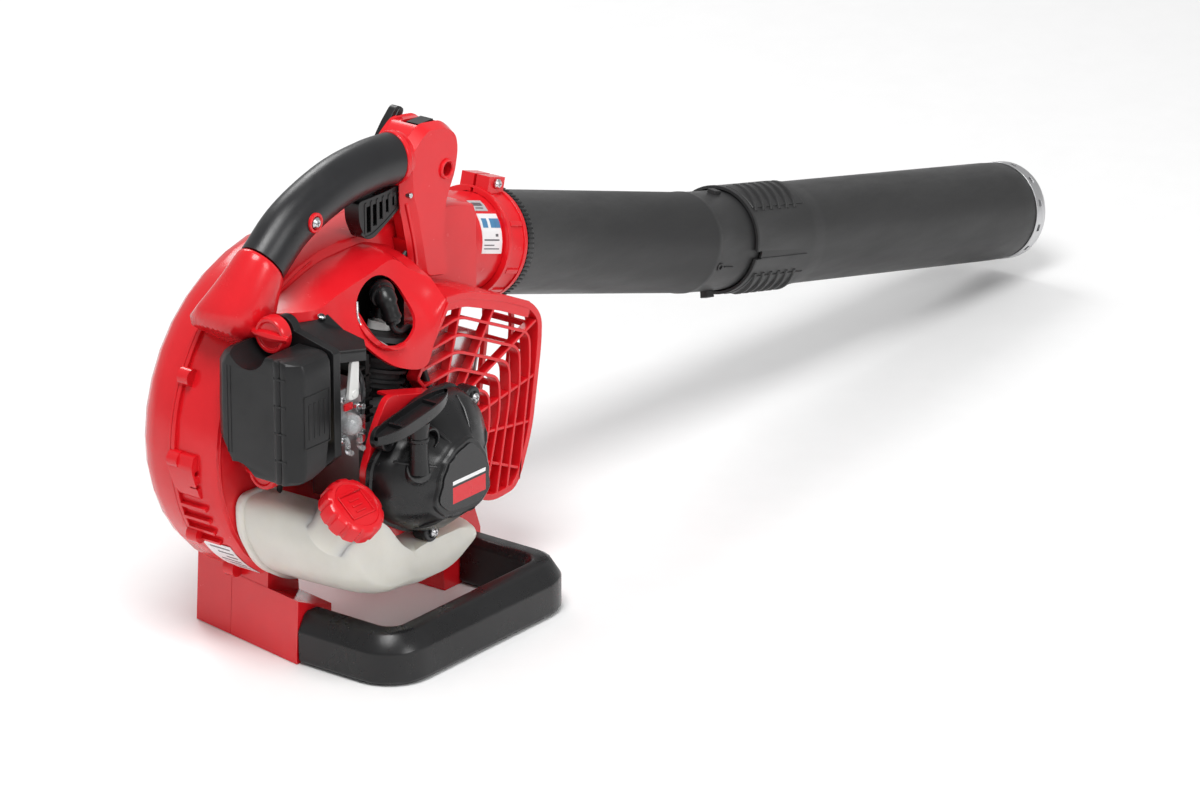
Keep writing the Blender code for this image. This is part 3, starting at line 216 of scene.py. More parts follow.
RED = moulded("red_plastic", (0.68, 0.0075, 0.014), 0.24, 0.04, 900, 0.05, 0.05, coat=0.25, shine=0.35,
              shift=0.04)
BLACK = moulded("black_plastic", (0.0085, 0.0085, 0.0092), 0.40, 0.35, 1500, 0.2, 0.06, shine=0.36)
SATIN = moulded("black_satin", (0.0078, 0.0078, 0.0085), 0.30, 0.15, 1900, 0.2, 0.05, shine=0.42)
GRIP = moulded("grip_rubber", (0.0078, 0.0080, 0.0095), 0.34, 0.30, 2600, 0.2, 0.05, shine=0.5)
PIPE = moulded("pipe_plastic", (0.022, 0.022, 0.0225), 0.44, 0.25, 1200, 0.15, 0.05,
               stretch=(0.25, 1, 1), shine=0.45)
DARK = moulded("inner_black", (0.006, 0.006, 0.006), 0.7, 0.4, 800, 0.2, 0.1, shine=0.2)
STEEL = moulded("steel", (0.60, 0.60, 0.61), 0.26, 0.12, 700, 0.15, 0.0, 1.0, stretch=(1, 6, 1))
RING = moulded("ring_metal", (0.62, 0.62, 0.63), 0.34, 0.2, 900, 0.1, 0.0, 1.0, stretch=(8, 1, 1))
ALLOY = moulded("cast_alloy", (0.42, 0.42, 0.43), 0.48, 0.8, 420, 0.2, 0.2, 1.0)
BLACK_ALLOY = moulded("black_alloy", (0.010, 0.010, 0.011), 0.55, 0.7, 520, 0.2, 0.1, shine=0.4)
WHITE = moulded("white_plastic", (0.80, 0.80, 0.78), 0.35, 0.15, 900, 0.05, 0.05)
FILM = moulded("label_film", (0.82, 0.83, 0.84), 0.25, 0.05, 900, 0.04, 0.02)
SHIELD = moulded("heat_shield", (0.50, 0.50, 0.50), 0.42, 0.3, 500, 0.25, 0.3, 1.0)


def tank_plastic():
    """Milky translucent plastic."""
    m = moulded("tank_plastic", (0.66, 0.645, 0.59), 0.36, 0.10, 700, 0.06, 0.12)
    _, p = nodes_of(m)
    p.inputs["Subsurface Weight"].default_value = 0.55
    p.inputs["Subsurface Radius"].default_value = (1.0, 0.9, 0.7)
    p.inputs["Subsurface Scale"].default_value = 0.012
    return m


def clear_plastic():
    m = moulded("clear_plastic", (0.86, 0.88, 0.89), 0.10, 0.03, 500, 0.04, 0.03)
    _, p = nodes_of(m)
    p.inputs["Transmission Weight"].default_value = 0.75
    p.inputs["IOR"].default_value = 1.45
    return m


def foam():
    m = moulded("foam", (0.66, 0.58, 0.40), 0.9, 0.6, 600, 0.3, 0.2)
    tree, p = nodes_of(m)
    cells = tree.nodes.new("ShaderNodeTexVoronoi")
    cells.inputs["Scale"].default_value = 700
    tree.links.new(place_of(tree), cells.inputs["Vector"])
    tree.links.new(bump(tree, cells.outputs["Distance"], 0.8, 0.001), p.inputs["Normal"])
    return m


def braid():
    m = moulded("braid", (0.80, 0.80, 0.77), 0.8, 0.2, 600, 0.2, 0.0)
    tree, p = nodes_of(m)
    twist = tree.nodes.new("ShaderNodeTexWave")
    twist.bands_direction = "DIAGONAL"
    twist.inputs["Scale"].default_value = 500
    tree.links.new(place_of(tree), twist.inputs["Vector"])
    tree.links.new(bump(tree, twist.outputs["Fac"], 0.7, 0.0006), p.inputs["Normal"])
    return m


TANK = tank_plastic()
CLEAR = clear_plastic()
FOAM = foam()
BRAID = braid()

floor_mat = moulded("floor", (0.93, 0.93, 0.93), 0.6, 0.05, 200, 0.01, 0.0)
floor = bpy.data.objects.new("floor", bpy.data.meshes.new("floor"))
floor.data.from_pydata([(-40, -40, -0.0004), (40, -40, -0.0004), (40, 40, -0.0004),
                        (-40, 40, -0.0004)], [], [(0, 1, 2, 3)])
floor.data.materials.append(floor_mat)
bpy.context.scene.collection.objects.link(floor)


# ---------------------------------------------------------------- mesh helpers
def piece(name, verts, faces, material, body, smooth=35.0):
    """A new piece from points in the frame's metres."""
    me = bpy.data.meshes.new(name)
    me.from_pydata([tuple(v) for v in verts], [], faces)
    bm = bmesh.new()
    bm.from_mesh(me)
    bmesh.ops.remove_doubles(bm, verts=bm.verts, dist=1e-6)
    bmesh.ops.recalc_face_normals(bm, faces=bm.faces)
    finish_mesh(bm, me, smooth)
    ob = bpy.data.objects.new(name, me)
    ob.data.materials.append(material)
    bpy.context.scene.collection.objects.link(ob)
    if body:
        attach(ob, body)
    return ob


def finish_mesh(bm, me, smooth):
    """Smooth faces with edges sharper than the angle left crisp."""
    for f in bm.faces:
        f.smooth = True
    for e in bm.edges:
        e.smooth = not (len(e.link_faces) == 2 and e.calc_face_angle(0) > math.radians(smooth))
    bm.to_mesh(me)
    bm.free()


def skin(node, material, bevel=0.8, segments=2, angle=32.0, smooth=40.0, name=None):
    """A CAD node's own shape with its facets merged, its edges rounded and a better finish."""
    src = NODES[node]
    me = src.data.copy()
    for key in ("custom_normal", "sharp_edge", "sharp_face"):
        if key in me.attributes:
            me.attributes.remove(me.attributes[key])
    bm = bmesh.new()
    bm.from_mesh(me)
    bmesh.ops.remove_doubles(bm, verts=bm.verts, dist=2e-6)
    bmesh.ops.dissolve_limit(bm, angle_limit=math.radians(0.6), verts=bm.verts, edges=bm.edges)
    finish_mesh(bm, me, smooth)
    me.materials.clear()
    me.materials.append(material)
    ob = bpy.data.objects.new(name or node + "_skin", me)
    bpy.context.scene.collection.objects.link(ob)
    if bevel:
        b = ob.modifiers.new("round", "BEVEL")
        b.width = bevel * MM
        b.segments = segments
        b.limit_method = "ANGLE"
        b.angle_limit = math.radians(angle)
        b.use_clamp_overlap = True
        b.harden_normals = True
    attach(ob, BODY_OF[node])
    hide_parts(node)
    return ob


# ---------------------------------------------------------------- shape helpers
def loft(rows, closed=False):
    """Skin rows of equally many points; flat ends unless the rows close on themselves."""
    n = len(rows[0])
    verts = [tuple(p) for row in rows for p in row]
    faces = []
    for k in range(len(rows) if closed else len(rows) - 1):
        a, b = k * n, ((k + 1) % len(rows)) * n
        faces += [[a + i, a + (i + 1) % n, b + (i + 1) % n, b + i] for i in range(n)]
    if not closed:
        faces += [list(range(n))[::-1], [(len(rows) - 1) * n + i for i in range(n)]]
    return verts, faces


def merge(*shapes):
    """Several closed bodies in one mesh."""
    verts, faces = [], []
    for v, f in shapes:
        n = len(verts)
        verts += list(v)
        faces += [[i + n for i in q] for q in f]
    return verts, faces


def ring(centre, axis, r, n=32, r2=None):
    """Circle or ellipse about an axis; r2 is its half-height."""
    a = Vector(axis).normalized()
    u = Vector((0, 0, 1)).cross(a)
    u = u.normalized() if u.length > 0.05 else Vector((1, 0, 0))
    v = a.cross(u).normalized()
    return [Vector(centre) + u * (r * math.cos(2 * math.pi * i / n))
            + v * ((r2 or r) * math.sin(2 * math.pi * i / n)) for i in range(n)]


def turned(profile, origin, axis, n=48):
    """Closed (radius, height) outline turned about an axis."""
    a, o = Vector(axis).normalized(), Vector(origin)
    profile = [(max(r, 0.02), h) for r, h in profile]
    return loft([ring(o + a * h, a, r, n) for r, h in profile], closed=True)


def rod(p0, p1, r, n=24, r_end=None):
    d = Vector(p1) - Vector(p0)
    return loft([ring(p0, d, r, n), ring(p1, d, r if r_end is None else r_end, n)])


def swept(path, radii, n=14):
    """Tube with solid ends along a path; radii per point, or one for all."""
    rows = []
    for i, p in enumerate(path):
        d = Vector(path[min(i + 1, len(path) - 1)]) - Vector(path[max(i - 1, 0)])
        r = radii[i] if isinstance(radii, list) else radii
        r, r2 = r if isinstance(r, tuple) else (r, r)
        rows.append(ring(p, d, r, n, r2))
    return loft(rows)


def smooth_line(points, per=6):
    """Catmull-Rom line through points of any dimension."""
    pts = [Vector(p) for p in points]
    pts = [pts[0] * 2 - pts[1]] + pts + [pts[-1] * 2 - pts[-2]]
    out = []
    for i in range(1, len(pts) - 2):
        p0, p1, p2, p3 = pts[i - 1:i + 3]
        for s in range(per):
            t = s / per
            out.append(0.5 * (2 * p1 + (p2 - p0) * t + (2 * p0 - 5 * p1 + 4 * p2 - p3) * t ** 2
                              + (3 * p1 - p0 - 3 * p2 + p3) * t ** 3))
    return out + [pts[-2]]


def rounded(corners, radius, steps=5):
    """Outline with every corner turned into a short curve."""
    n, out = len(corners), []
    for i in range(n):
        p, q, r = (Vector(corners[(i + k) % n]) for k in (-1, 0, 1))
        cut = min(radius, (p - q).length * 0.45, (r - q).length * 0.45)
        a, b = q + (p - q).normalized() * cut, q + (r - q).normalized() * cut
        for s in range(steps + 1):
            t = s / steps
            out.append(tuple(a * (1 - t) ** 2 + q * (2 * t * (1 - t)) + b * t ** 2))
    return out


def inset(outline, d):
    """Move an anticlockwise outline in by d."""
    n, out = len(outline), []
    for i in range(n):
        p, q, r = (Vector(outline[(i + k) % n]) for k in (-1, 0, 1))
        e0, e1 = (q - p).normalized(), (r - q).normalized()
        m = Vector((e0.y, -e0.x)) + Vector((e1.y, -e1.x))
        out.append(tuple(q - m / max(m.length_squared / 2.0, 0.5) * d))
    return out


def block(x0, x1, y0, y1, z0, z1):
    low = [(x0, y0, z0), (x1, y0, z0), (x1, y1, z0), (x0, y1, z0)]
    return loft([low, [(x, y, z1) for x, y, z in low]])


def slab(outline, y0, y1):
    """Outline in x, z pushed along y."""
    return loft([[(x, y, z) for x, z in outline] for y in (y0, y1)])


def rounder(ob, width, segments=2, angle=32):
    b = ob.modifiers.new("round", "BEVEL")
    b.width = width * MM
    b.segments = segments
    b.limit_method = "ANGLE"
    b.angle_limit = math.radians(angle)
    b.harden_normals = True


def carve(shape, cutters):
    """Cut closed bodies out of a shape; all in millimetres."""
    made = []
    for verts, faces in [shape] + cutters:
        me = bpy.data.meshes.new("blank")
        me.from_pydata([tuple(v) for v in verts], [], faces)
        bm = bmesh.new()
        bm.from_mesh(me)
        bmesh.ops.recalc_face_normals(bm, faces=bm.faces)
        bm.to_mesh(me)
        bm.free()
        ob = bpy.data.objects.new("blank", me)
        bpy.context.scene.collection.objects.link(ob)
        made.append(ob)
    for tool in made[1:]:
        m = made[0].modifiers.new("cut", "BOOLEAN")
        m.operation, m.solver, m.object = "DIFFERENCE", "EXACT", tool
    bpy.context.view_layer.update()
    me = bpy.data.meshes.new_from_object(made[0].evaluated_get(bpy.context.evaluated_depsgraph_get()))
    out = [v.co.copy() for v in me.vertices], [list(p.vertices) for p in me.polygons]
    for ob in made:
        bpy.data.objects.remove(ob)
    return out


def shape(name, geo, material, body="machine", bevel=0.0, segments=2, angle=32, subdiv=0,
          smooth=35.0, slot=None, stands_for=()):
    """A new piece from a body in millimetres, finished and riding on a CAD body."""
    verts, faces = geo
    ob = piece(name, [at(*v) for v in verts], faces, material, body, smooth)
    if subdiv:
        m = ob.modifiers.new("smooth", "SUBSURF")
        m.levels = m.render_levels = subdiv
    if bevel:
        rounder(ob, bevel, segments, angle)
    if stands_for:
        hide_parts(*stands_for)
    return ob


DONE = set()


def stand_in(node, name, geo, material, **more):
    """A detailed piece in place of a CAD node, on the same body."""
    DONE.add(node)
    return shape(name, geo, material, BODY_OF[node], slot=SLOT_OF[node], stands_for=(node,), **more)


def screw_head(place, axis, r=3.6, high=2.4):
    """Pan head with a cross recess."""
    a = Vector(axis).normalized()
    p = Vector(place)
    head = turned([(0, high), (r * 0.7, high * 0.95), (r, high * 0.5), (r, 0), (0, 0)], p, a, 24)
    u = Vector((1, 0, 0)) if abs(a.x) < 0.9 else Vector((0, 1, 0))
    u = (u - a * u.dot(a)).normalized()
    v = a.cross(u)
    tools = []
    for w, t in ((u, v), (v, u)):
        bar = [p + a * high + w * (sw * r * 0.55) + t * (st * r * 0.11)
               for sw, st in ((-1, -1), (1, -1), (1, 1), (-1, 1))]
        tools.append(loft([[q - a * 1.3 for q in bar], [q + a for q in bar]]))
    return carve(head, tools)


# ---------------------------------------------------------------- fan case dress
SPLIT = 14.0
KNOTS = [(40, 86), (0, 92), (-45, 100), (-90, 107), (-132, 115), (-180, 126), (-225, 133),
         (-255, 137), (-285, 142)]


def scroll_radius(deg):
    for (a0, r0), (a1, r1) in zip(KNOTS, KNOTS[1:]):
        if a1 <= deg <= a0:
            return r0 + (r1 - r0) * (a0 - deg) / (a0 - a1)
    return KNOTS[-1][1]


def on_scroll(deg, y, out):
    """Point at an angle round the crank, out from the fan case wall."""
    r, t = scroll_radius(deg) + out, math.radians(deg)
    return r * math.cos(t), y, CRANK_Z + r * math.sin(t)


def rim(a0, a1, y0, y1, low, high, steps=60):
    """Raised band round part of the scroll."""
    rows = []
    for k in range(steps + 1):
        deg = a0 + (a1 - a0) * k / steps
        rows.append([on_scroll(deg, y0, low), on_scroll(deg, y0, high),
                     on_scroll(deg, y1, high), on_scroll(deg, y1, low)])
    return loft(rows)


dress = [rim(-262, -148, SPLIT - 3.4, SPLIT - 0.3, -1.5, 2.6),
         rim(-262, -148, SPLIT + 0.3, SPLIT + 2.4, -1.5, 2.2),
         rim(-262, -136, -25.6, -23.0, -9, -4.6)]
for deg in (-152.5, -157.5, -162.5, -167.5):
    dress.append(loft([[on_scroll(deg + w, y, o) for w, o in
                        ((-0.8, -4), (-0.7, 3.2), (0.7, 3.2), (0.8, -4))]
                       for y in (SPLIT - 3.0, -12.5)]))
lug = rounded([(-186.5, -3), (-186.5, 4.4), (-182.5, 7.0), (-178, 4.6), (-171.5, 1.6), (-171, -3)], 1.2, 3)
shape("scroll_ribs", merge(*dress), RED, bevel=0.5, slot="red_plastic")
lug_body = loft([[on_scroll(deg, y, o) for deg, o in lug] for y in (SPLIT - 1, -9)])
holes = [rod(on_scroll(-180.6 + 4.6 * k, -12, 1.4), on_scroll(-180.6 + 4.6 * k, -3, 1.4), 2.2)
         for k in (0, 1)]
shape("scroll_lug", carve(lug_body, holes), RED, bevel=0.6, slot="red_plastic")

# ---------------------------------------------------------------- engine cover
COVER_ROWS = [
    (-84, [(-26.3, 256.5), (-29, 257.3), (-31.5, 257.5), (-32, 255), (-32.5, 252), (-33, 249)]),
    (-57, [(-26.3, 262.5), (-42, 260.5), (-58, 258), (-59, 255), (-60.5, 251), (-62, 247)]),
    (-30, [(-26.3, 271), (-42, 267), (-58, 262), (-60, 254), (-63, 245), (-66, 236)]),
    (-10, [(-26.3, 275), (-42, 270.5), (-57.5, 265), (-61.5, 247), (-72, 230), (-79, 214)]),
    (8, [(-26.3, 276), (-42, 272), (-56.5, 267), (-62, 246), (-78, 226), (-84, 202)]),
    (34, [(-26.3, 276), (-41, 273), (-55, 269.5), (-62.5, 246), (-79, 226), (-84.5, 196)]),
    (48, [(-26.3, 272), (-42, 268), (-60, 259), (-68, 240), (-79, 226), (-82, 214)]),
    (63, [(-26.3, 266), (-44, 261), (-66, 250), (-74, 242), (-79, 237), (-80, 233)]),
]


def cover_surface():
    """Fine cross-sections of the cover, smooth along the machine, crisp at the ridge."""
    lines = [smooth_line([(x, *row[i]) for x, row in COVER_ROWS], 5) for i in range(6)]
    rows = []
    for station in zip(*lines):
        roof = smooth_line(station[:3], 3)
        face = smooth_line(station[2:], 4)
        line = roof[:-1] + face
        under = []
        for i, p in enumerate(line):
            d = (line[min(i + 1, len(line) - 1)] - line[max(i - 1, 0)])
            d = Vector((0, d.y, d.z)).normalized()
            under.append(Vector((p.x, p.y - d.z * 2.2, p.z + d.y * 2.2)))
        rows.append(line + under[::-1])
    return loft(rows)


window = [(10 + 25.5 * math.cos(2 * math.pi * k / 56), 241 + 23 * math.sin(2 * math.pi * k / 56))
          for k in range(56)]
stand_in("engine_cover", "engine_cover_skin", carve(cover_surface(), [slab(window, -99, -50)]),
         RED, bevel=0.7, angle=40, smooth=38)
lip = []
for k in range(29):
    t = math.radians(168 + 112 * k / 28)
    x, z = 10 + 26.1 * math.cos(t), 241 + 23.6 * math.sin(t)
    y = -60 - 20 * max(0.0, min(1.0, (247 - z) / 26)) ** 0.8
    lip.append([(x, y + 3, z), (x, y - 2.6, z + 0.4), (x - 1.6 * math.cos(t), y - 3.2, z - 1.6),
                (x + 2.4 * math.cos(t), y - 1, z - 2.6), (x + 2.4 * math.cos(t), y + 3, z - 2.2)])
shape("window_lip", loft(lip), RED, bevel=0.4, slot="red_plastic")

# ---------------------------------------------------------------- muffler guard
PANEL_Y = -80.0
DEEP = 9.0


def bar(path, wide, y0=PANEL_Y, y1=PANEL_Y + DEEP):
    """Flat-sided bar along a line in the x, z plane."""
    rows = []
    for i, p in enumerate(path):
        d = (Vector(path[min(i + 1, len(path) - 1)]) - Vector(path[max(i - 1, 0)])).normalized()
        n = Vector((-d.y, d.x)) * wide / 2
        a, b = Vector(p) + n, Vector(p) - n
        rows.append([(a.x, y0, a.y), (b.x, y0, b.y), (b.x, y1, b.y), (a.x, y1, a.y)])
    return loft(rows)


def bent(points, radius):
    """Open line with its inner corners rounded."""
    out = [Vector(points[0])]
    for p, q, r in zip(points, points[1:], points[2:]):
        p, q, r = Vector(p), Vector(q), Vector(r)
        cut = min(radius, (p - q).length * 0.45, (r - q).length * 0.45)
        a, b = q + (p - q).normalized() * cut, q + (r - q).normalized() * cut
        out += [a * (1 - t) ** 2 + q * (2 * t * (1 - t)) + b * t ** 2 for t in
                (0, 0.2, 0.4, 0.6, 0.8, 1)]
    return out + [Vector(points[-1])]


RIB_LEFT = [(54, 216), (40.5, 203), (33.5, 191), (35, 178), (47, 165)]
RIB_FOOT = [(145, 74), (131, 72), (119, 71), (106, 74), (96, 82)]
guard_bars = []
for k in range(5):
    crease = (78.2 - 1.8 * k, 219.4 - 12.6 * k)
    corner = (158.2 - 11.8 * k, 184 - 8 * k)
    guard_bars.append(bar(bent([RIB_LEFT[k], crease, corner,
                                (corner[0] + 0.4, corner[1] - 26), RIB_FOOT[k]], 9), 2.3))
for a, b in (((81, 229), (57, 153)), ((118, 214), (78, 160)), ((166.5, 191), (84, 158.5)),
             ((169, 150.5), (92, 138)), ((161.5, 115), (92, 124)), ((150, 81), (88, 108))):
    guard_bars.append(bar([a, b], 2.3, PANEL_Y + 0.6, PANEL_Y + DEEP - 1))
OUTER = [(63, 236), (84, 234), (127, 219.5), (160, 204.5), (170.6, 192), (169.8, 172),
         (163.6, 137), (158.5, 109.5), (146, 80), (139, 70.6), (112, 68.6), (86, 84), (66, 95)]
guard_bars.append(bar(bent(OUTER, 12), 5.0, PANEL_Y, PANEL_Y + 12))
guard_bars.append(bar(bent([(64, 231), (84, 229), (124, 214.5), (158, 199)], 8), 7.0,
                      PANEL_Y + 0.3, PANEL_Y + 7))
guard_bars.append(bar(bent([(65, 234), (28.6, 186.5), (33, 182), (48, 160), (54, 152)], 3), 3.0,
                      PANEL_Y - 1.5, PANEL_Y + DEEP))
side_line = bent(OUTER[3:10], 12)
for frac in (0.06, 0.22, 0.38, 0.54, 0.70, 0.86, 0.97):
    p = side_line[int(frac * (len(side_line) - 1))]
    guard_bars.append(block(p.x - 2.2, p.x + 1.6, PANEL_Y + 4, -27.5, p.y - 2, p.y + 2))
guard_bars.append(bar(side_line, 4.0, -31.5, -27.5))
guard_bars.append(bar(side_line, 4.0, -55, -52))
top_line = bent([(64, 237), (84, 235.4), (127, 221), (161, 205.6)], 12)
guard_bars.append(bar(top_line, 2.4, PANEL_Y + 2, -26.5))
stand_in("muffler_guard", "muffler_guard_skin", merge(*guard_bars), RED, bevel=0.5, segments=2)

# ---------------------------------------------------------------- starter
CASE_R = [(0, 55), (30, 56), (50, 55), (70, 48), (90, 43), (115, 42), (135, 44), (155, 50),
          (175, 58), (190, 60), (210, 59), (235, 55), (255, 55), (272, 56), (290, 52),
          (315, 52), (340, 54), (360, 55)]
PAD_R = [(0, 24), (25, 21), (50, 20), (73, 21), (100, 19), (135, 20), (165, 24), (190, 29),
         (212, 38), (230, 37), (255, 33), (276, 33), (300, 36), (318, 36), (335, 29), (360, 24)]


def table(pairs, deg):
    for (a0, v0), (a1, v1) in zip(pairs, pairs[1:]):
        if a0 <= deg <= a1:
            t = (deg - a0) / (a1 - a0)
            return v0 + (v1 - v0) * (3 * t * t - 2 * t ** 3)
    return pairs[-1][1]


def starter_row(y, share, extra):
    """Outline part-way between the wide base and the badge pad."""
    row = []
    for k in range(72):
        t = math.radians(k * 5)
        r = table(CASE_R, k * 5) * (1 - share) + table(PAD_R, k * 5) * share + extra
        row.append((r * math.cos(t), y, CRANK_Z + r * math.sin(t)))
    return row


case_rows = [(-104.4, 0, -1), (-105, 0, 0.6), (-108.5, 0, 0.6), (-109.5, 0, -1.6), (-113, 0, -1.6),
             (-121, 0.03, -2.4), (-126, 0.10, -3.0), (-135.5, 0.52, -1.0), (-141.0, 0.78, 0.6),
             (-142.4, 0.92, 2.6), (-143.2, 1.0, 3.4), (-144.2, 1.0, 1.4), (-146.2, 1.0, 0.6),
             (-146.9, 1.0, -0.6)]
starter_shell = loft([starter_row(*row) for row in case_rows])
stand_in("starter_case", "starter_case_skin", starter_shell, SATIN, bevel=0.0, smooth=28)
extras = []
for deg in (35, 268, 150):
    x, z = 55.0 * math.cos(math.radians(deg)), CRANK_Z + 55.0 * math.sin(math.radians(deg))
    extras.append(turned([(0, -106), (8.2, -106), (8.2, -117), (7.4, -118), (4.8, -118),
                          (4.8, -116), (0, -116)], (x, 0, z), (0, 1, 0), 28))
for deg in (12, 62, 118, 165, 238, 292, 330):
    t = math.radians(deg)
    lo, hi = table(PAD_R, deg) + 3.0, table(CASE_R, deg) - 3.5
    path = [(r * math.cos(t), y, CRANK_Z + r * math.sin(t)) for r, y in
            ((lo, -142.4), (lo * 0.7 + hi * 0.3, -138.2), (lo * 0.35 + hi * 0.65, -131.4), (hi, -121.5))]
    extras.append(swept([Vector(p) for p in path], [(1.5, 1.5), (1.7, 1.7), (1.7, 1.7), (1.2, 1.2)], 8))
ROPE_X, ROPE_Y = -38.0, -136.0
extras.append(turned([(3.0, 150), (7.6, 150), (6.6, 160), (6.4, 173), (7.4, 174), (7.4, 176.4),
                      (5.6, 177), (3.0, 177)], (ROPE_X, ROPE_Y, 0), (0, 0, 1), 28))
extras.append(swept([Vector((ROPE_X, ROPE_Y, 152)), Vector((ROPE_X + 4, -128, 146)),
                     Vector((ROPE_X + 10, -118, 142))], [9.5, 13, 15], 20))
scoop = [(ROPE_X + 11 + 9 * math.cos(math.radians(a)), 171 + 8 * math.sin(math.radians(a)))
         for a in range(-60, 241, 20)]
extras.append(bar(scoop, 1.8, -138, -124))
shape("starter_case_ribs", merge(*extras), SATIN, bevel=0.5, slot="black_plastic")

pad = [starter_row(-147, 1.0, -3.4)[k] for k in range(72)]
badge = inset([(x, z) for x, y, z in pad], 0)


def band(tree, sep, axis, low, high):
    """1 where a coordinate lies between two levels."""
    n = tree.nodes.new("ShaderNodeMath")
    n.operation = "COMPARE"
    n.inputs[1].default_value = (low + high) / 2
    n.inputs[2].default_value = (high - low) / 2
    tree.links.new(sep.outputs[axis], n.inputs[0])
    return n.outputs[0]


def both(tree, a, b):
    n = tree.nodes.new("ShaderNodeMath")
    n.operation = "MULTIPLY"
    tree.links.new(a, n.inputs[0])
    tree.links.new(b, n.inputs[1])
    return n.outputs[0]


def boxed(tree):
    """Coordinates from 0 to 1 across the piece's own box."""
    coord = tree.nodes.new("ShaderNodeTexCoord")
    sep = tree.nodes.new("ShaderNodeSeparateXYZ")
    tree.links.new(coord.outputs["Generated"], sep.inputs[0])
    return sep


def layered(tree, layers, under):
    """Flat printed colours over each other; layers are (mask, colour)."""
    out = under
    for mask, colour in layers:
        n = tree.nodes.new("ShaderNodeMix")
        n.data_type = "RGBA"
        n.inputs["B"].default_value = (*colour, 1)
        tree.links.new(mask, n.inputs["Factor"])
        tree.links.new(out, n.inputs["A"])
        out = n.outputs["Result"]
    return out


def badge_print():
    """Black badge with a light stripe over a red field, no lettering."""
    m = moulded("badge_film", (0.012, 0.012, 0.013), 0.22, 0.05, 900, 0.1, 0.02)
    tree, p = nodes_of(m)
    under = p.inputs["Base Color"].links[0].from_socket
    sep = boxed(tree)
    across = band(tree, sep, "X", 0.26, 0.93)
    field = both(tree, band(tree, sep, "Z", 0.14, 0.40), across)
    stripe = both(tree, band(tree, sep, "Z", 0.44, 0.50), across)
    out = layered(tree, [(field, (0.62, 0.010, 0.018)), (stripe, (0.8, 0.8, 0.8))], under)
    tree.links.new(out, p.inputs["Base Color"])
    return m


stand_in("starter_badge", "starter_badge_skin", slab(badge, -146.9, -147.9), badge_print(),
         bevel=0.3)

handle_dir = Vector((0.987, 0, 0.16)).normalized()
handle_mid = Vector((ROPE_X - 8, ROPE_Y, 194))
rows = []
for k in range(25):
    s = -39 + 78 * k / 24
    w = 9.2 * (1 - abs(s / 40.5) ** 4.0) + 0.6
    drop = 9.5 - 3.5 * (s / 39) ** 2
    c = handle_mid + handle_dir * s + Vector((0, 0, 3.0))
    rows.append([c + Vector((0, y * w, z)) for y, z in
                 ((1, 0), (0.86, -drop), (0.3, -drop - 1), (-0.3, -drop - 1), (-0.86, -drop), (-1, 0),
                  (-0.84, 0.2), (-0.74, -drop * 0.45), (0.74, -drop * 0.45), (0.84, 0.2))])
stem = turned([(2.4, 168.5), (6.0, 168.5), (6.6, 176), (8.2, 188), (2.4, 188)],
              (ROPE_X, ROPE_Y, 0), (0, 0, 1), 24)
bridge = [loft([[handle_mid + handle_dir * (s + e) + Vector((0, y, z)) for y, z in
                 ((-7, -4), (7, -4), (7, 1.6), (-7, 1.6))] for e in (-0.9, 0.9)]) for s in (-16, 22)]
stand_in("starter_handle", "starter_handle_skin", merge(loft(rows), stem, *bridge), SATIN, bevel=0.5)
shape("rope_knot", turned([(0, 186.6), (4.6, 187.4), (5.6, 190), (4.4, 193), (0, 193.8)],
                          (ROPE_X, ROPE_Y, 0), (0, 0, 1), 20), BRAID, "pull_handle", slot="cord")

ROPE_FOOT, ROPE_TOP, ROPE_RINGS = 158.2, 188.2, 60
rope_verts, rope_faces = loft([ring((ROPE_X, ROPE_Y, ROPE_FOOT + (ROPE_TOP - ROPE_FOOT) * k / ROPE_RINGS),
                                    (0, 0, 1), 2.0, 12) for k in range(ROPE_RINGS + 1)])
rope = piece("starter_rope_skin", [at(*v) for v in rope_verts], rope_faces, BRAID, None)
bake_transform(rope)
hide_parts("starter_rope")
DONE.add("starter_rope")

# ---------------------------------------------------------------- air cleaner
CLEAN_LO = corners("air_cleaner_cover")[0]
UP_AXIS = mm(JOINTS["upper_knob_turn"]["pos_m"])
LOW_AXIS = mm(JOINTS["lower_knob_turn"]["pos_m"])
BACK = CLEAN_LO.x


def cleaner_row(z, y_in, y_out, shrink):
    """Level section of the cover with its vertical double ridge and chamfered side."""
    pts = rounded([(-92.4, y_in), (BACK + 9, y_in), (BACK + 1.4, y_in - 9), (BACK + 1.4, -84),
                   (BACK, -85.6), (BACK, -88.2), (BACK + 1.6, -89.4), (BACK + 0.2, -91),
                   (BACK + 0.2, -94.4), (BACK + 8.5, y_out), (-96, y_out), (-92.4, y_out + 4)],
                  1.6, 2)
    return [(x + (-112 - x) * shrink, y + (-66 - y) * shrink, z) for x, y in pts]


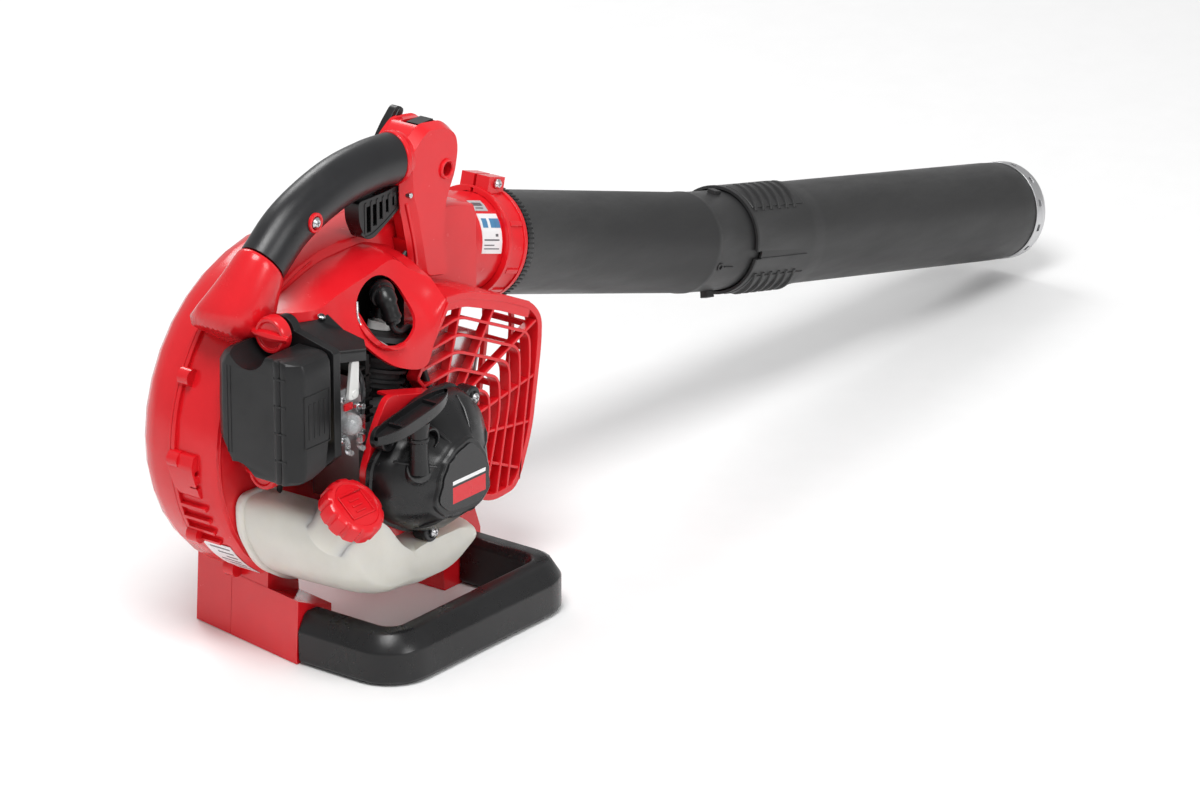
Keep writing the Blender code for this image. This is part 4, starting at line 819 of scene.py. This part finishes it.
levels = [(157.6, -42, -98, 0.10), (158.6, -40, -101, 0.04), (161.5, -38.5, -104, 0.0),
          (168, -35.2, -105.6, 0.0), (181, -28, -106, 0.0), (205, -27.6, -106, 0.0),
          (236, -28.5, -106, 0.0), (243, -33, -105.4, 0.0), (246.6, -37, -104, 0.01),
          (248.2, -40, -101.5, 0.04), (248.9, -43, -99, 0.10)]
cleaner = carve(loft([cleaner_row(*row) for row in levels]),
                [rod((-150, UP_AXIS.y, UP_AXIS.z), (-91, UP_AXIS.y, UP_AXIS.z), 17.5, 40),
                 rod((-150, LOW_AXIS.y, LOW_AXIS.z), (-91, LOW_AXIS.y, LOW_AXIS.z), 16.5, 40),
                 loft([[(-140, y, z) for y, z in ((-99, 150), (-112, 150), (-112, 168))],
                       [(-85, y, z) for y, z in ((-92, 150), (-112, 150), (-112, 178))]]),
                 loft([[(x, y, z) for x, z in ((-91.5, 232), (-80, 232), (-80, 150), (-106, 150))]
                       for y in (-82, -120)]),
                 loft([[(x, y, z) for x, z in ((-128, 150), (-128, 157), (-88, 172), (-88, 150))]
                       for y in (-82, -120)])])
stand_in("air_cleaner_cover", "air_cleaner_skin", cleaner, BLACK, bevel=0.9, segments=3, smooth=34)
grooves = [block(BACK + 1.1, BACK + 1.9, y - 0.4, y + 0.4, 172, 236) for y in (-41.5, -44.5)]
grooves += [block(-124, -98, CLEAN_LO.y - 0.5, CLEAN_LO.y + 0.3, z - 0.5, z + 0.5) for z in (186, 224)]
grooves += [block(x - 0.5, x + 0.5, CLEAN_LO.y - 0.5, CLEAN_LO.y + 0.3, 186, 224) for x in (-124, -98)]
grooves += [block(x - 1.2, x + 1.2, CLEAN_LO.y - 0.4, CLEAN_LO.y + 0.3, 192, 218)
            for x in (-119, -113.5, -108, -102.5)]
grooves += [block(BACK - 0.05, BACK + 1.5, -95, -84.5, z - 0.8, z + 0.8) for z in (176, 196, 216, 236)]
shape("air_cleaner_relief", merge(*grooves), BLACK, "cleaner_cover", bevel=0.25, slot="black_plastic")
for key, axis, r in (("upper", UP_AXIS, 13.5), ("lower", LOW_AXIS, 12.5)):
    pivot = Vector((-84.5, axis.y, axis.z))
    dial = turned([(0, 12.9), (r, 12.9), (r, 20), (r - 1.2, 22), (r - 3.4, 22), (r - 4.2, 20.6),
                   (0, 20.6)], pivot, (-1, 0, 0), 36)
    shank = turned([(0, 0.2), (3.0, 0.2), (3.0, 13), (0, 13)], pivot, (-1, 0, 0), 20)
    wing = []
    for k in range(13):
        s = -(r + 2.4) + 2 * (r + 2.4) * k / 12
        w = 2.4 + 1.6 * math.cos(s / (r + 2.4) * math.pi / 2)
        rise = 25.2 - 3.0 * (s / (r + 2.4)) ** 2
        wing.append([(-84.5 - h, axis.y + s, axis.z + v) for h, v in
                     ((19, -w), (rise - 1, -w * 0.7), (rise, 0), (rise - 1, w * 0.7), (19, w))])
    stand_in(f"air_cleaner_knob_{key}", f"air_cleaner_knob_{key}_skin", merge(dial, shank, loft(wing)),
             RED, bevel=0.5)


def ear(axis, a0, a1):
    """Round lug of the base plate behind a knob."""
    return [(axis.y + 10.5 * math.cos(math.radians(a)), axis.z + 10.5 * math.sin(math.radians(a)))
            for a in range(a0, a1, 10)]


edge = ear(UP_AXIS, 10, 180) + [(-103, 248), (-105, 246), (-105, 170), (-94, 160)]
edge += ear(LOW_AXIS, 180, 370) + [(-38, 161), (-28.6, 178), (-28.6, 246), (-31, 248.4)]
plate = loft([[(x, y, z) for y, z in edge] for x in (-91.6, -84.2)])
base_holes = [rod((-99, -78, 192), (-70, -78, 192), 8, 28)]
for knob_axis in (UP_AXIS, LOW_AXIS):
    base_holes.append(rod((-99, knob_axis.y, knob_axis.z), (-80, knob_axis.y, knob_axis.z), 3.4, 20))
stand_in("air_cleaner_base", "air_cleaner_base_skin", carve(plate, base_holes), BLACK, bevel=0.5)
shape("air_cleaner_duct", carve(block(-84.4, -75.7, -90, -66, 178, 206), base_holes[:1]), BLACK, bevel=0.5,
      slot="black_plastic")

# ---------------------------------------------------------------- canopy over the carburettor
CANOPY = [(-91, -37, 250), (-60, -63.5, 253.5), (-52, -67, 256), (-46, -76, 245),
          (-36, -86, 237), (-50, -99.5, 237.5), (-91, -102.5, 247.6)]
skirt = [(-36, -86, 237), (-50, -99.5, 237.5), (-91, -102.5, 247.6)]
canopy = [loft([[(x, y, z + dz) for x, y, z in CANOPY] for dz in (-2.6, 0)])]
canopy.append(loft([[(x, y, z - 1), (x, y, z - 9), (x + 1.6, y + 1.8, z - 9), (x + 1.6, y + 1.8, z - 1)]
                    for x, y, z in skirt]))
stand_in("carburettor_hood", "carburettor_hood_skin", merge(*canopy), BLACK, bevel=0.8)
shape("canopy_screw", screw_head((-56, -64.5, 254.4), (0, -0.3, 1), 3.0, 2.0), STEEL, slot="bright_steel")

# ---------------------------------------------------------------- fuel tank and cap
TANK_OUTLINE = [(-109, 129), (-109, 102), (-90, 69), (-57, 48), (-8, 40.8), (42, 48), (76, 68),
                (60, 82), (0, 86), (-46, 94), (-70, 128)]
tank_shape = rounded(TANK_OUTLINE, 15, 6)
tank_rows = []
for y, d, squeeze in ((-27.2, 1.2, 1.0), (-27.8, 0.2, 1.0), (-31.6, 0.2, 1.0), (-32.4, 1.2, 1.0),
                      (-33.2, 3.2, 1.0), (-50, 3.2, 0.99), (-74, 3.8, 0.975), (-92, 5.0, 0.955),
                      (-103, 7.2, 0.94), (-110, 10.4, 0.93), (-114.6, 14.2, 0.92), (-117, 18.4, 0.91)):
    mid = Vector((-22, 80))
    row = []
    for x, z in tank_shape:
        v = Vector((x, z)) - mid
        v = v * max(0.0, 1 - d / max(v.length, 20))
        row.append((mid.x + v.x * squeeze, y, mid.y + v.y))
    tank_rows.append(row)
CAP_AT = mm(JOINTS["fuel_cap_turn"]["pos_m"])
CAP_AXIS = Vector(JOINTS["fuel_cap_turn"]["axis"]).normalized()
neck = turned([(8, -26), (19.5, -22), (17.2, -12), (16.4, -6), (16.4, -1), (15.6, 0), (8, 0)],
              CAP_AT, CAP_AXIS, 40)
stand_in("fuel_tank", "fuel_tank_skin", merge(loft(tank_rows), neck), TANK, bevel=0.0, smooth=50)
cap_rows = []
for r, h, flute in ((17.0, 0.2, 0), (22.6, 0.2, 1), (23.4, 1.4, 1), (23.4, 11.0, 1), (22.4, 13.4, 0.8),
                    (20.0, 15.0, 0), (17.6, 15.4, 0), (17.2, 14.4, 0), (0.3, 14.6, 0), (0.3, 10.8, 0),
                    (17.0, 10.8, 0)):
    circle = ring(CAP_AT + CAP_AXIS * h, CAP_AXIS, 1.0, 96)
    centre = CAP_AT + CAP_AXIS * h
    cap_rows.append([centre + (p - centre) * (r - flute * (1.5 if (i % 8) in (0, 1) else 0.0))
                     for i, p in enumerate(circle)])
cap_u = Vector((1, 0, 0))
cap_v = CAP_AXIS.cross(cap_u)


def on_cap(u, v, h):
    return CAP_AT + CAP_AXIS * h + cap_u * u + cap_v * v


relief = []
for u0, u1, v0, v1 in ((-12, 12, 9, 10.6), (-12, -10.4, -8, 9), (10.4, 12, -8, 9), (-12, 12, -9.6, -8),
                       (-5, 5, 3.4, 5.0), (-5, 5, -1.0, 0.6), (-5, 5, -5.4, -3.8)):
    relief.append(loft([[on_cap(u, v, h) for u, v in ((u0, v0), (u1, v0), (u1, v1), (u0, v1))]
                        for h in (14.2, 15.5)]))
stand_in("fuel_cap", "fuel_cap_skin", merge(loft(cap_rows, closed=True), *relief), RED, bevel=0.4)

# ---------------------------------------------------------------- handle
GRIP_Y = -30.0
GRIP_LINE = smooth_line([(-78, GRIP_Y, 292), (-47, GRIP_Y, 314), (-3, GRIP_Y, 329),
                         (36, GRIP_Y, 333), (62, GRIP_Y, 332)], 8)
grip_body = swept(GRIP_LINE, [(16.8, 19.2)] * len(GRIP_LINE), 40)
grip_body = carve(grip_body, [block(17, 70, -37.3, -22.7, 270, 322)])
stand_in("handle_grip", "handle_grip_skin", grip_body, GRIP, bevel=0.8, smooth=40)
seat = Vector((-40, GRIP_Y - 16.9, 315.5))
shape("grip_screw_ring", turned([(4.6, -1.5), (7.2, -1.5), (7.2, 0.9), (6.6, 1.5), (5.2, 1.5), (4.6, 0.8)],
                                seat, (0, -1, 0), 32), RED, slot="red_plastic")
collar = []
for k, (s, r) in enumerate(((0.0, 17.4), (0.6, 18.2), (4.0, 18.4), (5.0, 17.6), (9.0, 17.2))):
    collar.append(ring((62.2 + s, GRIP_Y, 332 - 0.1 * s), (1, 0, -0.03), r - 0.5, 40, r + 2))
shape("grip_front_collar", loft(collar), RED, bevel=0.4, slot="red_plastic")


def root_row(centre, tilt, wide, high, power):
    """Rounded section of the handle root."""
    c, row = Vector(centre), []
    along = Vector((math.cos(math.radians(tilt)), 0, math.sin(math.radians(tilt))))
    for k in range(40):
        t = 2 * math.pi * k / 40
        a, b = math.cos(t), math.sin(t)
        a = math.copysign(abs(a) ** power, a)
        b = math.copysign(abs(b) ** power, b)
        row.append(c + along * (high * b) + Vector((0, wide * a, 0)))
    return row


root = [root_row((-78.2, GRIP_Y, 291.8), -54, 17.4, 19.8, 1.0),
        root_row((-79.8, GRIP_Y, 290.2), -54, 18.6, 21.0, 1.0),
        root_row((-85.5, -28.6, 281), -50, 19.6, 22.6, 0.98),
        root_row((-91.5, -25.4, 268), -43, 22.4, 25.5, 0.94),
        root_row((-95.5, -20.0, 253), -36, 27.0, 29.5, 0.9),
        root_row((-97, -12.0, 236), -32, 33.0, 33.0, 0.86)]
POST_BACK = rounded([(72, 241), (71, 262), (64.5, 290), (62.6, 300), (62.6, 338), (74, 347), (84, 353.4),
                     (108, 350), (120, 341), (122, 328), (118.6, 311), (109, 292), (105, 262), (112, 233),
                     (90, 238)], 5, 4)
POST_FACE = rounded([(84, 241), (80, 262), (74, 290), (69, 306), (68, 336), (76, 343), (86, 349.4),
                     (107, 346.4), (117.4, 339), (119.4, 328), (116, 312), (105.6, 293), (101.6, 262),
                     (107, 236),
                     (96, 239)], 5, 4)
post = loft([[(x, y, z) for x, z in outline] for y, outline in
             ((-14, inset(POST_BACK, 1.2)), (-15.4, POST_BACK), (-37.5, POST_BACK),
               (-38.6, inset(POST_BACK, 0.6)),
              (-46.1, POST_FACE))])
cuts = [block(50, 130, -26.1, -10, 200, 292), block(60, 75, -37.3, -22.7, 270, 322),
        block(84, 108, -38, -22.6, 342, 360), rod((106, -60, 316), (106, 0, 316), 5.0, 32),
        rod((84, -22.3, 331), (84, -5, 331), 4.1, 24), rod((96, -37.7, 345.6), (96, -22.8, 345.6), 3.3, 20),
        rod((67, -60, 306), (67, 0, 306), 2.1, 20)]
stand_in("handle_frame", "handle_frame_skin", carve(post, cuts), RED, bevel=0.9, segments=3, angle=24)
shape("handle_root", loft(root), RED, subdiv=1, smooth=60, slot="red_plastic")
core = swept(GRIP_LINE, [(11, 13.6)] * len(GRIP_LINE), 24)
shape("handle_core", carve(core, [block(17, 70, -37.3, -22.7, 270, 322)]), RED, slot="red_plastic")
side_rib = [(66, 300), (74, 268), (77, 246)]
shape("post_side_rib", bar(smooth_line(side_rib, 6), 3.0, -43, -27), RED, bevel=1.0, slot="red_plastic")
eye = turned([(5.0, -1), (7.6, -1), (7.6, 1.0), (6.8, 1.8), (5.8, 1.8), (5.0, 1.0)],
             (106, -46.2, 316), (0, -1, 0), 32)
shape("post_eye_rim", eye, RED, slot="red_plastic")

comb = []
for k in range(6):
    x0 = 25.5 + k * 6.6
    comb.append(loft([[(x0 + e, y, z + e * 0.45) for e, z in ((0, 283.5 + k * 3.0), (2.2, 283.5 + k * 3.0),
                                                           (2.2, 309), (0, 309))] for y in (-37.1, -36)]))
comb.append(bar(smooth_line([(22, 288), (30, 283.6), (46, 288.4), (64, 297)], 5), 2.4, -37.1, -36))
shape("trigger_comb", merge(*comb), SATIN, "trigger", bevel=0.35, slot="black_plastic")
lock = turned([(0, -3.4), (6.6, -3.4), (7.0, 0), (6.6, 3.4), (0, 3.4)], (84, -10.3, 331), (0, 1, 0), 30)
thumb = bar(smooth_line([(86, 335), (86, 345), (92, 353.5), (96, 357)], 5), 5.0, -14.4, -6.2)
shape("lock_lever_thumb", merge(lock, thumb), SATIN, "throttle_lock", bevel=0.8, slot="black_plastic")

# ---------------------------------------------------------------- plug boot and what the window shows
boot = swept(smooth_line([(23, -51.4, 228), (26.6, -51.6, 240), (19, -57, 251), (13.5, -65, 248.5),
                          (13.4, -69.5, 239), (15, -70.5, 231.5)], 6),
             [(8.4, 8.4)] * 16 + [(7.6, 7.6)] * 5 + [(6.4, 6.4)] * 5 + [(7.0, 7.0)] * 2
             + [(5.4, 5.4)] * 3, 24)
cuff = [turned([(6.0, 0), (8.6, 0), (8.6, 2.2), (6.0, 2.2)], (16 - 2 * k, -58 - 4 * k, 251 - k),
               (-0.5, -0.8, -0.2), 28) for k in (0, 1)]
stand_in("spark_plug_boot", "spark_plug_boot_skin", merge(boot, *cuff), SATIN, smooth=45)
well = rounded([(-30, 206), (46, 200), (46, 262), (-30, 256)], 10, 4)
shape("plug_well", loft([[(x, y, z) for x, z in well]
                         for y in (-37.5, -36)]), DARK, slot="black_plastic")
shape("plug_well_floor", merge(block(-26, 44, -66, -37, 216.6, 218.4), block(43, 45, -56, -37, 218, 250)),
      DARK, bevel=0.4, slot="black_plastic")
shape("stop_wire", swept(smooth_line([(-12, -60, 252), (-17, -66, 240), (-13, -73, 229), (-2, -76, 221),
                                      (6, -76, 214)], 6), 1.1, 10), STEEL, slot="bright_steel")

# ---------------------------------------------------------------- carburettor side
fit = []
for x, z in ((-57.5, 196), (-57, 177)):
    fit.append(rod((x, -95, z), (x, -103, z + 1.5), 2.6, 18, 2.0))
    fit.append(turned([(0, 0), (3.6, 0), (3.8, 3), (0, 3.6)], (x, -96.5, z), (0, -1, 0.1), 18))
shape("carburettor_nipples", merge(*fit), STEEL, bevel=0.2, slot="bright_steel")
feet = [swept(smooth_line([(x, -95, 178), (x - 1, -99.5, 174), (x - 1.5, -100, 168),
                           (x + 2.5, -100, 165)], 5), 2.1, 12)
        for x in (-70.5, -57.5)]
shape("carburettor_lines", merge(*feet), CLEAR, slot="clear_plastic")
shape("primer_ring", turned([(8.2, -91.8), (10.4, -91.8), (10.4, -94), (9.4, -95.2), (8.2, -95.2)],
                            (-66.5, 0, 186), (0, 1, 0), 36), CLEAR, slot="clear_plastic")
jet_outline = rounded([(-70, 195.4), (-61, 195.4), (-61, 200.6), (-70, 200.6)], 1.2, 3)
shape("jet_cap", slab(jet_outline, -96.3, -94.0),
      RED, bevel=0.3, slot="red_plastic")
CARB_LO, CARB_HI = corners("carburettor")
plates = [block(CARB_LO.x - 0.8, CARB_HI.x + 0.8, -95.6, -93.4, z, z + 3.2) for z in (173, 182, 203.5)]
shape("carburettor_plates", merge(*plates), ALLOY, bevel=0.5, slot="cast_alloy")
shape("carburettor_screws", merge(*[screw_head((x, -95.6, z), (0, -1, 0), 2.6, 1.8)
                                    for x, z in ((-72, 205), (-51, 205), (-72, 175), (-51, 175))]),
      STEEL, slot="bright_steel")
baffle = []
for k in range(7):
    z = 176 + k * 6
    baffle.append(block(-44, -24, -84 + 0.4 * k, -58, z, z + 2))
baffle.append(block(-30, -26, -82, -56, 172, 222))
shape("cylinder_baffle", merge(*baffle), DARK, bevel=0.3, slot="black_plastic")

# ---------------------------------------------------------------- blow pipe
SEAM = mm(JOINTS["front_pipe_twist"]["pos_m"])
FRONT_DIR = Vector(JOINTS["front_pipe_twist"]["axis"]).normalized()
if FRONT_DIR.x < 0:
    FRONT_DIR = -FRONT_DIR
FRONT_UP = Vector((-FRONT_DIR.z, 0, FRONT_DIR.x))
SIDE = Vector((0, 1, 0))
PITCH = math.radians(15.7)
REAR_DIR = Vector((math.cos(PITCH), 0, -math.sin(PITCH)))
REAR_UP = Vector((math.sin(PITCH), 0, math.cos(PITCH)))
MOUTH = Vector((218, 14, 217))
FRONT_LEN = 405.0


def round_front(deg, s, r):
    """Point round the front pipe: angle from the left side over the top, distance from the seam."""
    t = math.radians(deg)
    return SEAM + FRONT_DIR * s + SIDE * (r * math.cos(t)) + FRONT_UP * (r * math.sin(t))


front = turned([(42.4, 0), (42.6, 0.6), (42.6, 3.2), (42.2, 4.2), (42.2, 76), (41.9, 82), (40.9, 92),
                (40.6, 98), (40.6, 386), (40.2, 398), (39.4, 405), (37.4, 405), (38.6, 386),
                (38.6, 98), (40.2, 78), (40.2, 0)], SEAM, FRONT_DIR, 96)
front_cuts = [loft([[round_front(a, s, r) for a, s in ((181, -2), (190, -2), (190, 7), (181, 7))]
                    for r in (38, 46)])]
pads = []
for centre, lean in ((112, -1), (232, 1)):
    for k in range(6):
        s0 = 12 + k * 10.5
        rows = []
        for j in range(9):
            deg = centre + (j - 4) * 6.2
            slide = s0 + lean * (j - 4) * 1.5
            high = 3.0 * math.cos((j - 4) / 4.4 * math.pi / 2) ** 0.5
            rows.append([round_front(deg, slide, 41.6), round_front(deg, slide + 1.2, 42.0 + high),
                         round_front(deg, slide + 3.6, 42.0 + high), round_front(deg, slide + 5.6, 41.6)])
        pads.append(loft(rows))
    pads.append(loft([[round_front(centre + (j - 3) * 7, s, r) for s, r in
                       ((5, 41.8), (6, 42.9), (74, 42.9), (76, 41.6))] for j in range(7)]))
stand_in("front_blow_pipe", "front_blow_pipe_skin", carve(front, front_cuts), PIPE, bevel=0.0, smooth=30)
line = loft([[round_front(a, s, r) for a, r in ((188.4, 42.0), (188.4, 42.9), (189.8, 42.9), (189.8, 42.0))]
             for s in (7, 70)])
shape("front_pipe_pads", merge(*pads, line), PIPE, "front_pipe", bevel=0.35, slot="grey_pipe")

rear_rows = []
for s, r in ((3.5, 36), (3.5, 38.6), (6, 39.3), (14, 39.4), (15, 39.0), (252, 39.0), (253, 39.5),
             (258, 39.5), (259, 39.0)):
    rear_rows.append(ring(MOUTH + REAR_DIR * s, REAR_DIR, r, 96))
for s in (-16, -8, 0.5, 26):
    rear_rows.append(ring(SEAM + FRONT_DIR * s, FRONT_DIR if s > -12 else (REAR_DIR + FRONT_DIR), 39.0, 96))
for s in (26, 0, -16):
    rear_rows.append(ring(SEAM + FRONT_DIR * s, FRONT_DIR if s > -12 else (REAR_DIR + FRONT_DIR), 37.0, 96))
rear_rows += [ring(MOUTH + REAR_DIR * s, REAR_DIR, 36.4, 96) for s in (258, 15, 6)]
stand_in("rear_blow_pipe", "rear_blow_pipe_skin", loft(rear_rows, closed=True), PIPE, bevel=0.0, smooth=30)


def round_rear(deg, s, r):
    t = math.radians(deg)
    return MOUTH + REAR_DIR * s + SIDE * (r * math.cos(t)) + REAR_UP * (r * math.sin(t))


knurl = [loft([[round_rear(a - 1.3, s, 38.6), round_rear(a - 1.0, s, 42.6), round_rear(a + 1.0, s, 42.6),
                round_rear(a + 1.3, s, 38.6)] for s in (4.2, 10.5)]) for a in range(0, 360, 5)]
knurl.append(turned([(38.6, 4.0), (42.0, 4.0), (42.0, 10.0), (40.6, 13.0), (38.6, 13.6)],
                    MOUTH, REAR_DIR, 96))
shape("pipe_knurl", merge(*knurl), SATIN, slot="black_plastic")
lugs = [loft([[round_rear(deg + w, s, r) for w, s in ((-5, 281), (5, 281), (5, 289.5), (-5, 289.5))]
              for r in (37.8, 43.2)]) for deg in (96, 250)]
lugs.append(loft([[round_rear(a, s, r) for a, r in ((196.6, 38.6), (196.6, 39.7),
                                                   (197.8, 39.7), (197.8, 38.6))]
                  for s in (268, 280)]))
lugs.append(turned([(1.7, 0), (3.4, 0), (3.4, 1.4), (2.9, 1.8), (1.7, 1.8)], round_rear(197, 262, 38.4),
                   round_rear(197, 262, 39.4) - round_rear(197, 262, 38.4), 24))
shape("rear_pipe_details", merge(*lugs), PIPE, bevel=0.3, slot="grey_pipe")
TIP = SEAM + FRONT_DIR * FRONT_LEN
tip_ring = turned([(36.2, -12), (36.8, -12), (36.9, 0.5), (40.3, 0.5), (40.6, 1.2), (40.5, 12), (39.8, 14),
                   (39.0, 14.9), (36.2, 14.9)], TIP, FRONT_DIR, 96)
slots = [loft([[round_front(a + w, FRONT_LEN + s, r) for w, s in ((-4, 4.2), (4, 4.2), (4, 7.8), (-4, 7.8))]
               for r in (35, 44)]) for a in range(10, 370, 30)]
stand_in("nozzle_ring", "nozzle_ring_skin", carve(tip_ring, slots), RING, bevel=0.3, smooth=30)

clamp_detail = [turned([(40.4, -19.8), (42.2, -19.6), (42.2, -16), (41.4, -15), (40.4, -15)],
                       MOUTH, REAR_DIR, 72),
                turned([(40.4, -1), (42.4, -0.6), (42.6, 2.8), (40.4, 2.9)], MOUTH, REAR_DIR, 72)]
for deg in (30, 150, 200, 228, 300, 340):
    clamp_detail.append(loft([[round_rear(deg + w, s, r) for w, r in
                               ((-3, 40), (-2.4, 42.2), (2.4, 42.2), (3, 40))] for s in (-15, -1)]))
shape("clamp_ribs", merge(*clamp_detail), RED, bevel=0.4, slot="red_plastic")

# ---------------------------------------------------------------- labels
NOTICE = moulded("notice_film", (0.80, 0.80, 0.81), 0.3, 0.05, 900, 0.04, 0.02)
PLATE = moulded("plate_film", (0.46, 0.46, 0.47), 0.3, 0.05, 900, 0.08, 0.02)
INK = moulded("grey_ink", (0.10, 0.10, 0.11), 0.35, 0.05, 900, 0.1, 0.02)
BLUE_INK = moulded("blue_ink", (0.06, 0.22, 0.42), 0.35, 0.05, 900, 0.1, 0.02)
CASE_TREE = BVHTree.FromPolygons([NODES["fan_case_engine_half"].matrix_world @ v.co
                                  for v in NODES["fan_case_engine_half"].data.vertices],
                                 [tuple(p.vertices) for p in NODES["fan_case_engine_half"].data.polygons])


def on_case(deg, s):
    """Where a line towards the outlet's axis meets the case, and the way out from there."""
    start, target = at(*round_rear(deg, s, 90)), at(*round_rear(deg, s, 0))
    hit = CASE_TREE.ray_cast(start, (target - start).normalized(), 0.09)[0]
    place = mm(hit) if hit else round_rear(deg, s, 37.5)
    return place, (round_rear(deg, s, 90) - round_rear(deg, s, 0)).normalized()


def wrapped(s0, s1, a0, a1, lift=0.45):
    """Thin film laid over the case round its outlet."""
    rows = []
    for k in range(25):
        deg, outer, inner = a0 + (a1 - a0) * k / 24, [], []
        for j in range(17):
            place, out = on_case(deg, s0 + (s1 - s0) * j / 16)
            outer.append(place + out * lift)
            inner.append(place - out * 0.1)
        rows.append(outer + inner[::-1])
    return loft(rows)


stand_in("warning_label", "warning_label_skin", wrapped(-46, -22.5, 136, 182), NOTICE)
stand_in("maker_label", "maker_label_skin", wrapped(-46, -30, 116, 132), PLATE)
bars = [wrapped(s0, s1, deg, deg + wide, 0.6) for s0, s1, deg, wide in
        ((-44, -26, 166, 1.6), (-44, -32, 172, 1.2), (-44, -26, 176, 1.2), (-30, -27, 160, 3.0))]
shape("notice_print", merge(*bars), INK, slot="film")
marks = [wrapped(s, s + 6, 142, 153, 0.6) for s in (-43.5, -34, -28.6)]
shape("notice_marks", merge(*marks), BLUE_INK, slot="film")
shape("plate_print", merge(wrapped(-44, -33, 120, 125, 0.6), wrapped(-43, -34, 127.5, 129, 0.6)),
      INK, slot="film")


def on_case_side(a0, a1, y0, y1, lift):
    """Thin film round the scroll wall."""
    return loft([[on_scroll(a0 + (a1 - a0) * k / 14, y, o) for y, o in
                  ((y0, 0.1), (y1, 0.1), (y1, lift), (y0, lift))] for k in range(15)])


shape("case_label", on_case_side(-150, -129, -17, 9, 0.45), NOTICE, slot="film")
lines = [on_case_side(-148 + 3 * k, -147.2 + 3 * k, -14, 4 - (k % 3) * 4, 0.6) for k in range(6)]
shape("case_label_print", merge(*lines), INK, slot="film")

# ---------------------------------------------------------------- finishes of the CAD's own shapes
FINISH = {"red_plastic": RED, "black_plastic": BLACK, "grey_pipe": PIPE, "clear_plastic": CLEAR,
          "tank_plastic": TANK, "white_plastic": WHITE, "rubber": GRIP, "bright_steel": STEEL,
          "cast_alloy": ALLOY, "black_alloy": BLACK_ALLOY, "foam": FOAM, "cord": BRAID,
          "film": FILM}
SPECIAL = {"heat_shield": SHIELD, "handle_grip": GRIP, "base_stand": SATIN, "throttle_trigger": SATIN,
           "throttle_lock_lever": SATIN, "inlet_insulator": DARK, "air_cleaner_base": BLACK}
BEVELS = {"fan_case_engine_half": 1.0, "fan_case_intake_half": 1.0, "base_stand": 1.6}
for node in sorted(set(NODES) - DONE):
    skin(node, SPECIAL.get(node, FINISH[SLOT_OF[node]]), BEVELS.get(node, 0.4))
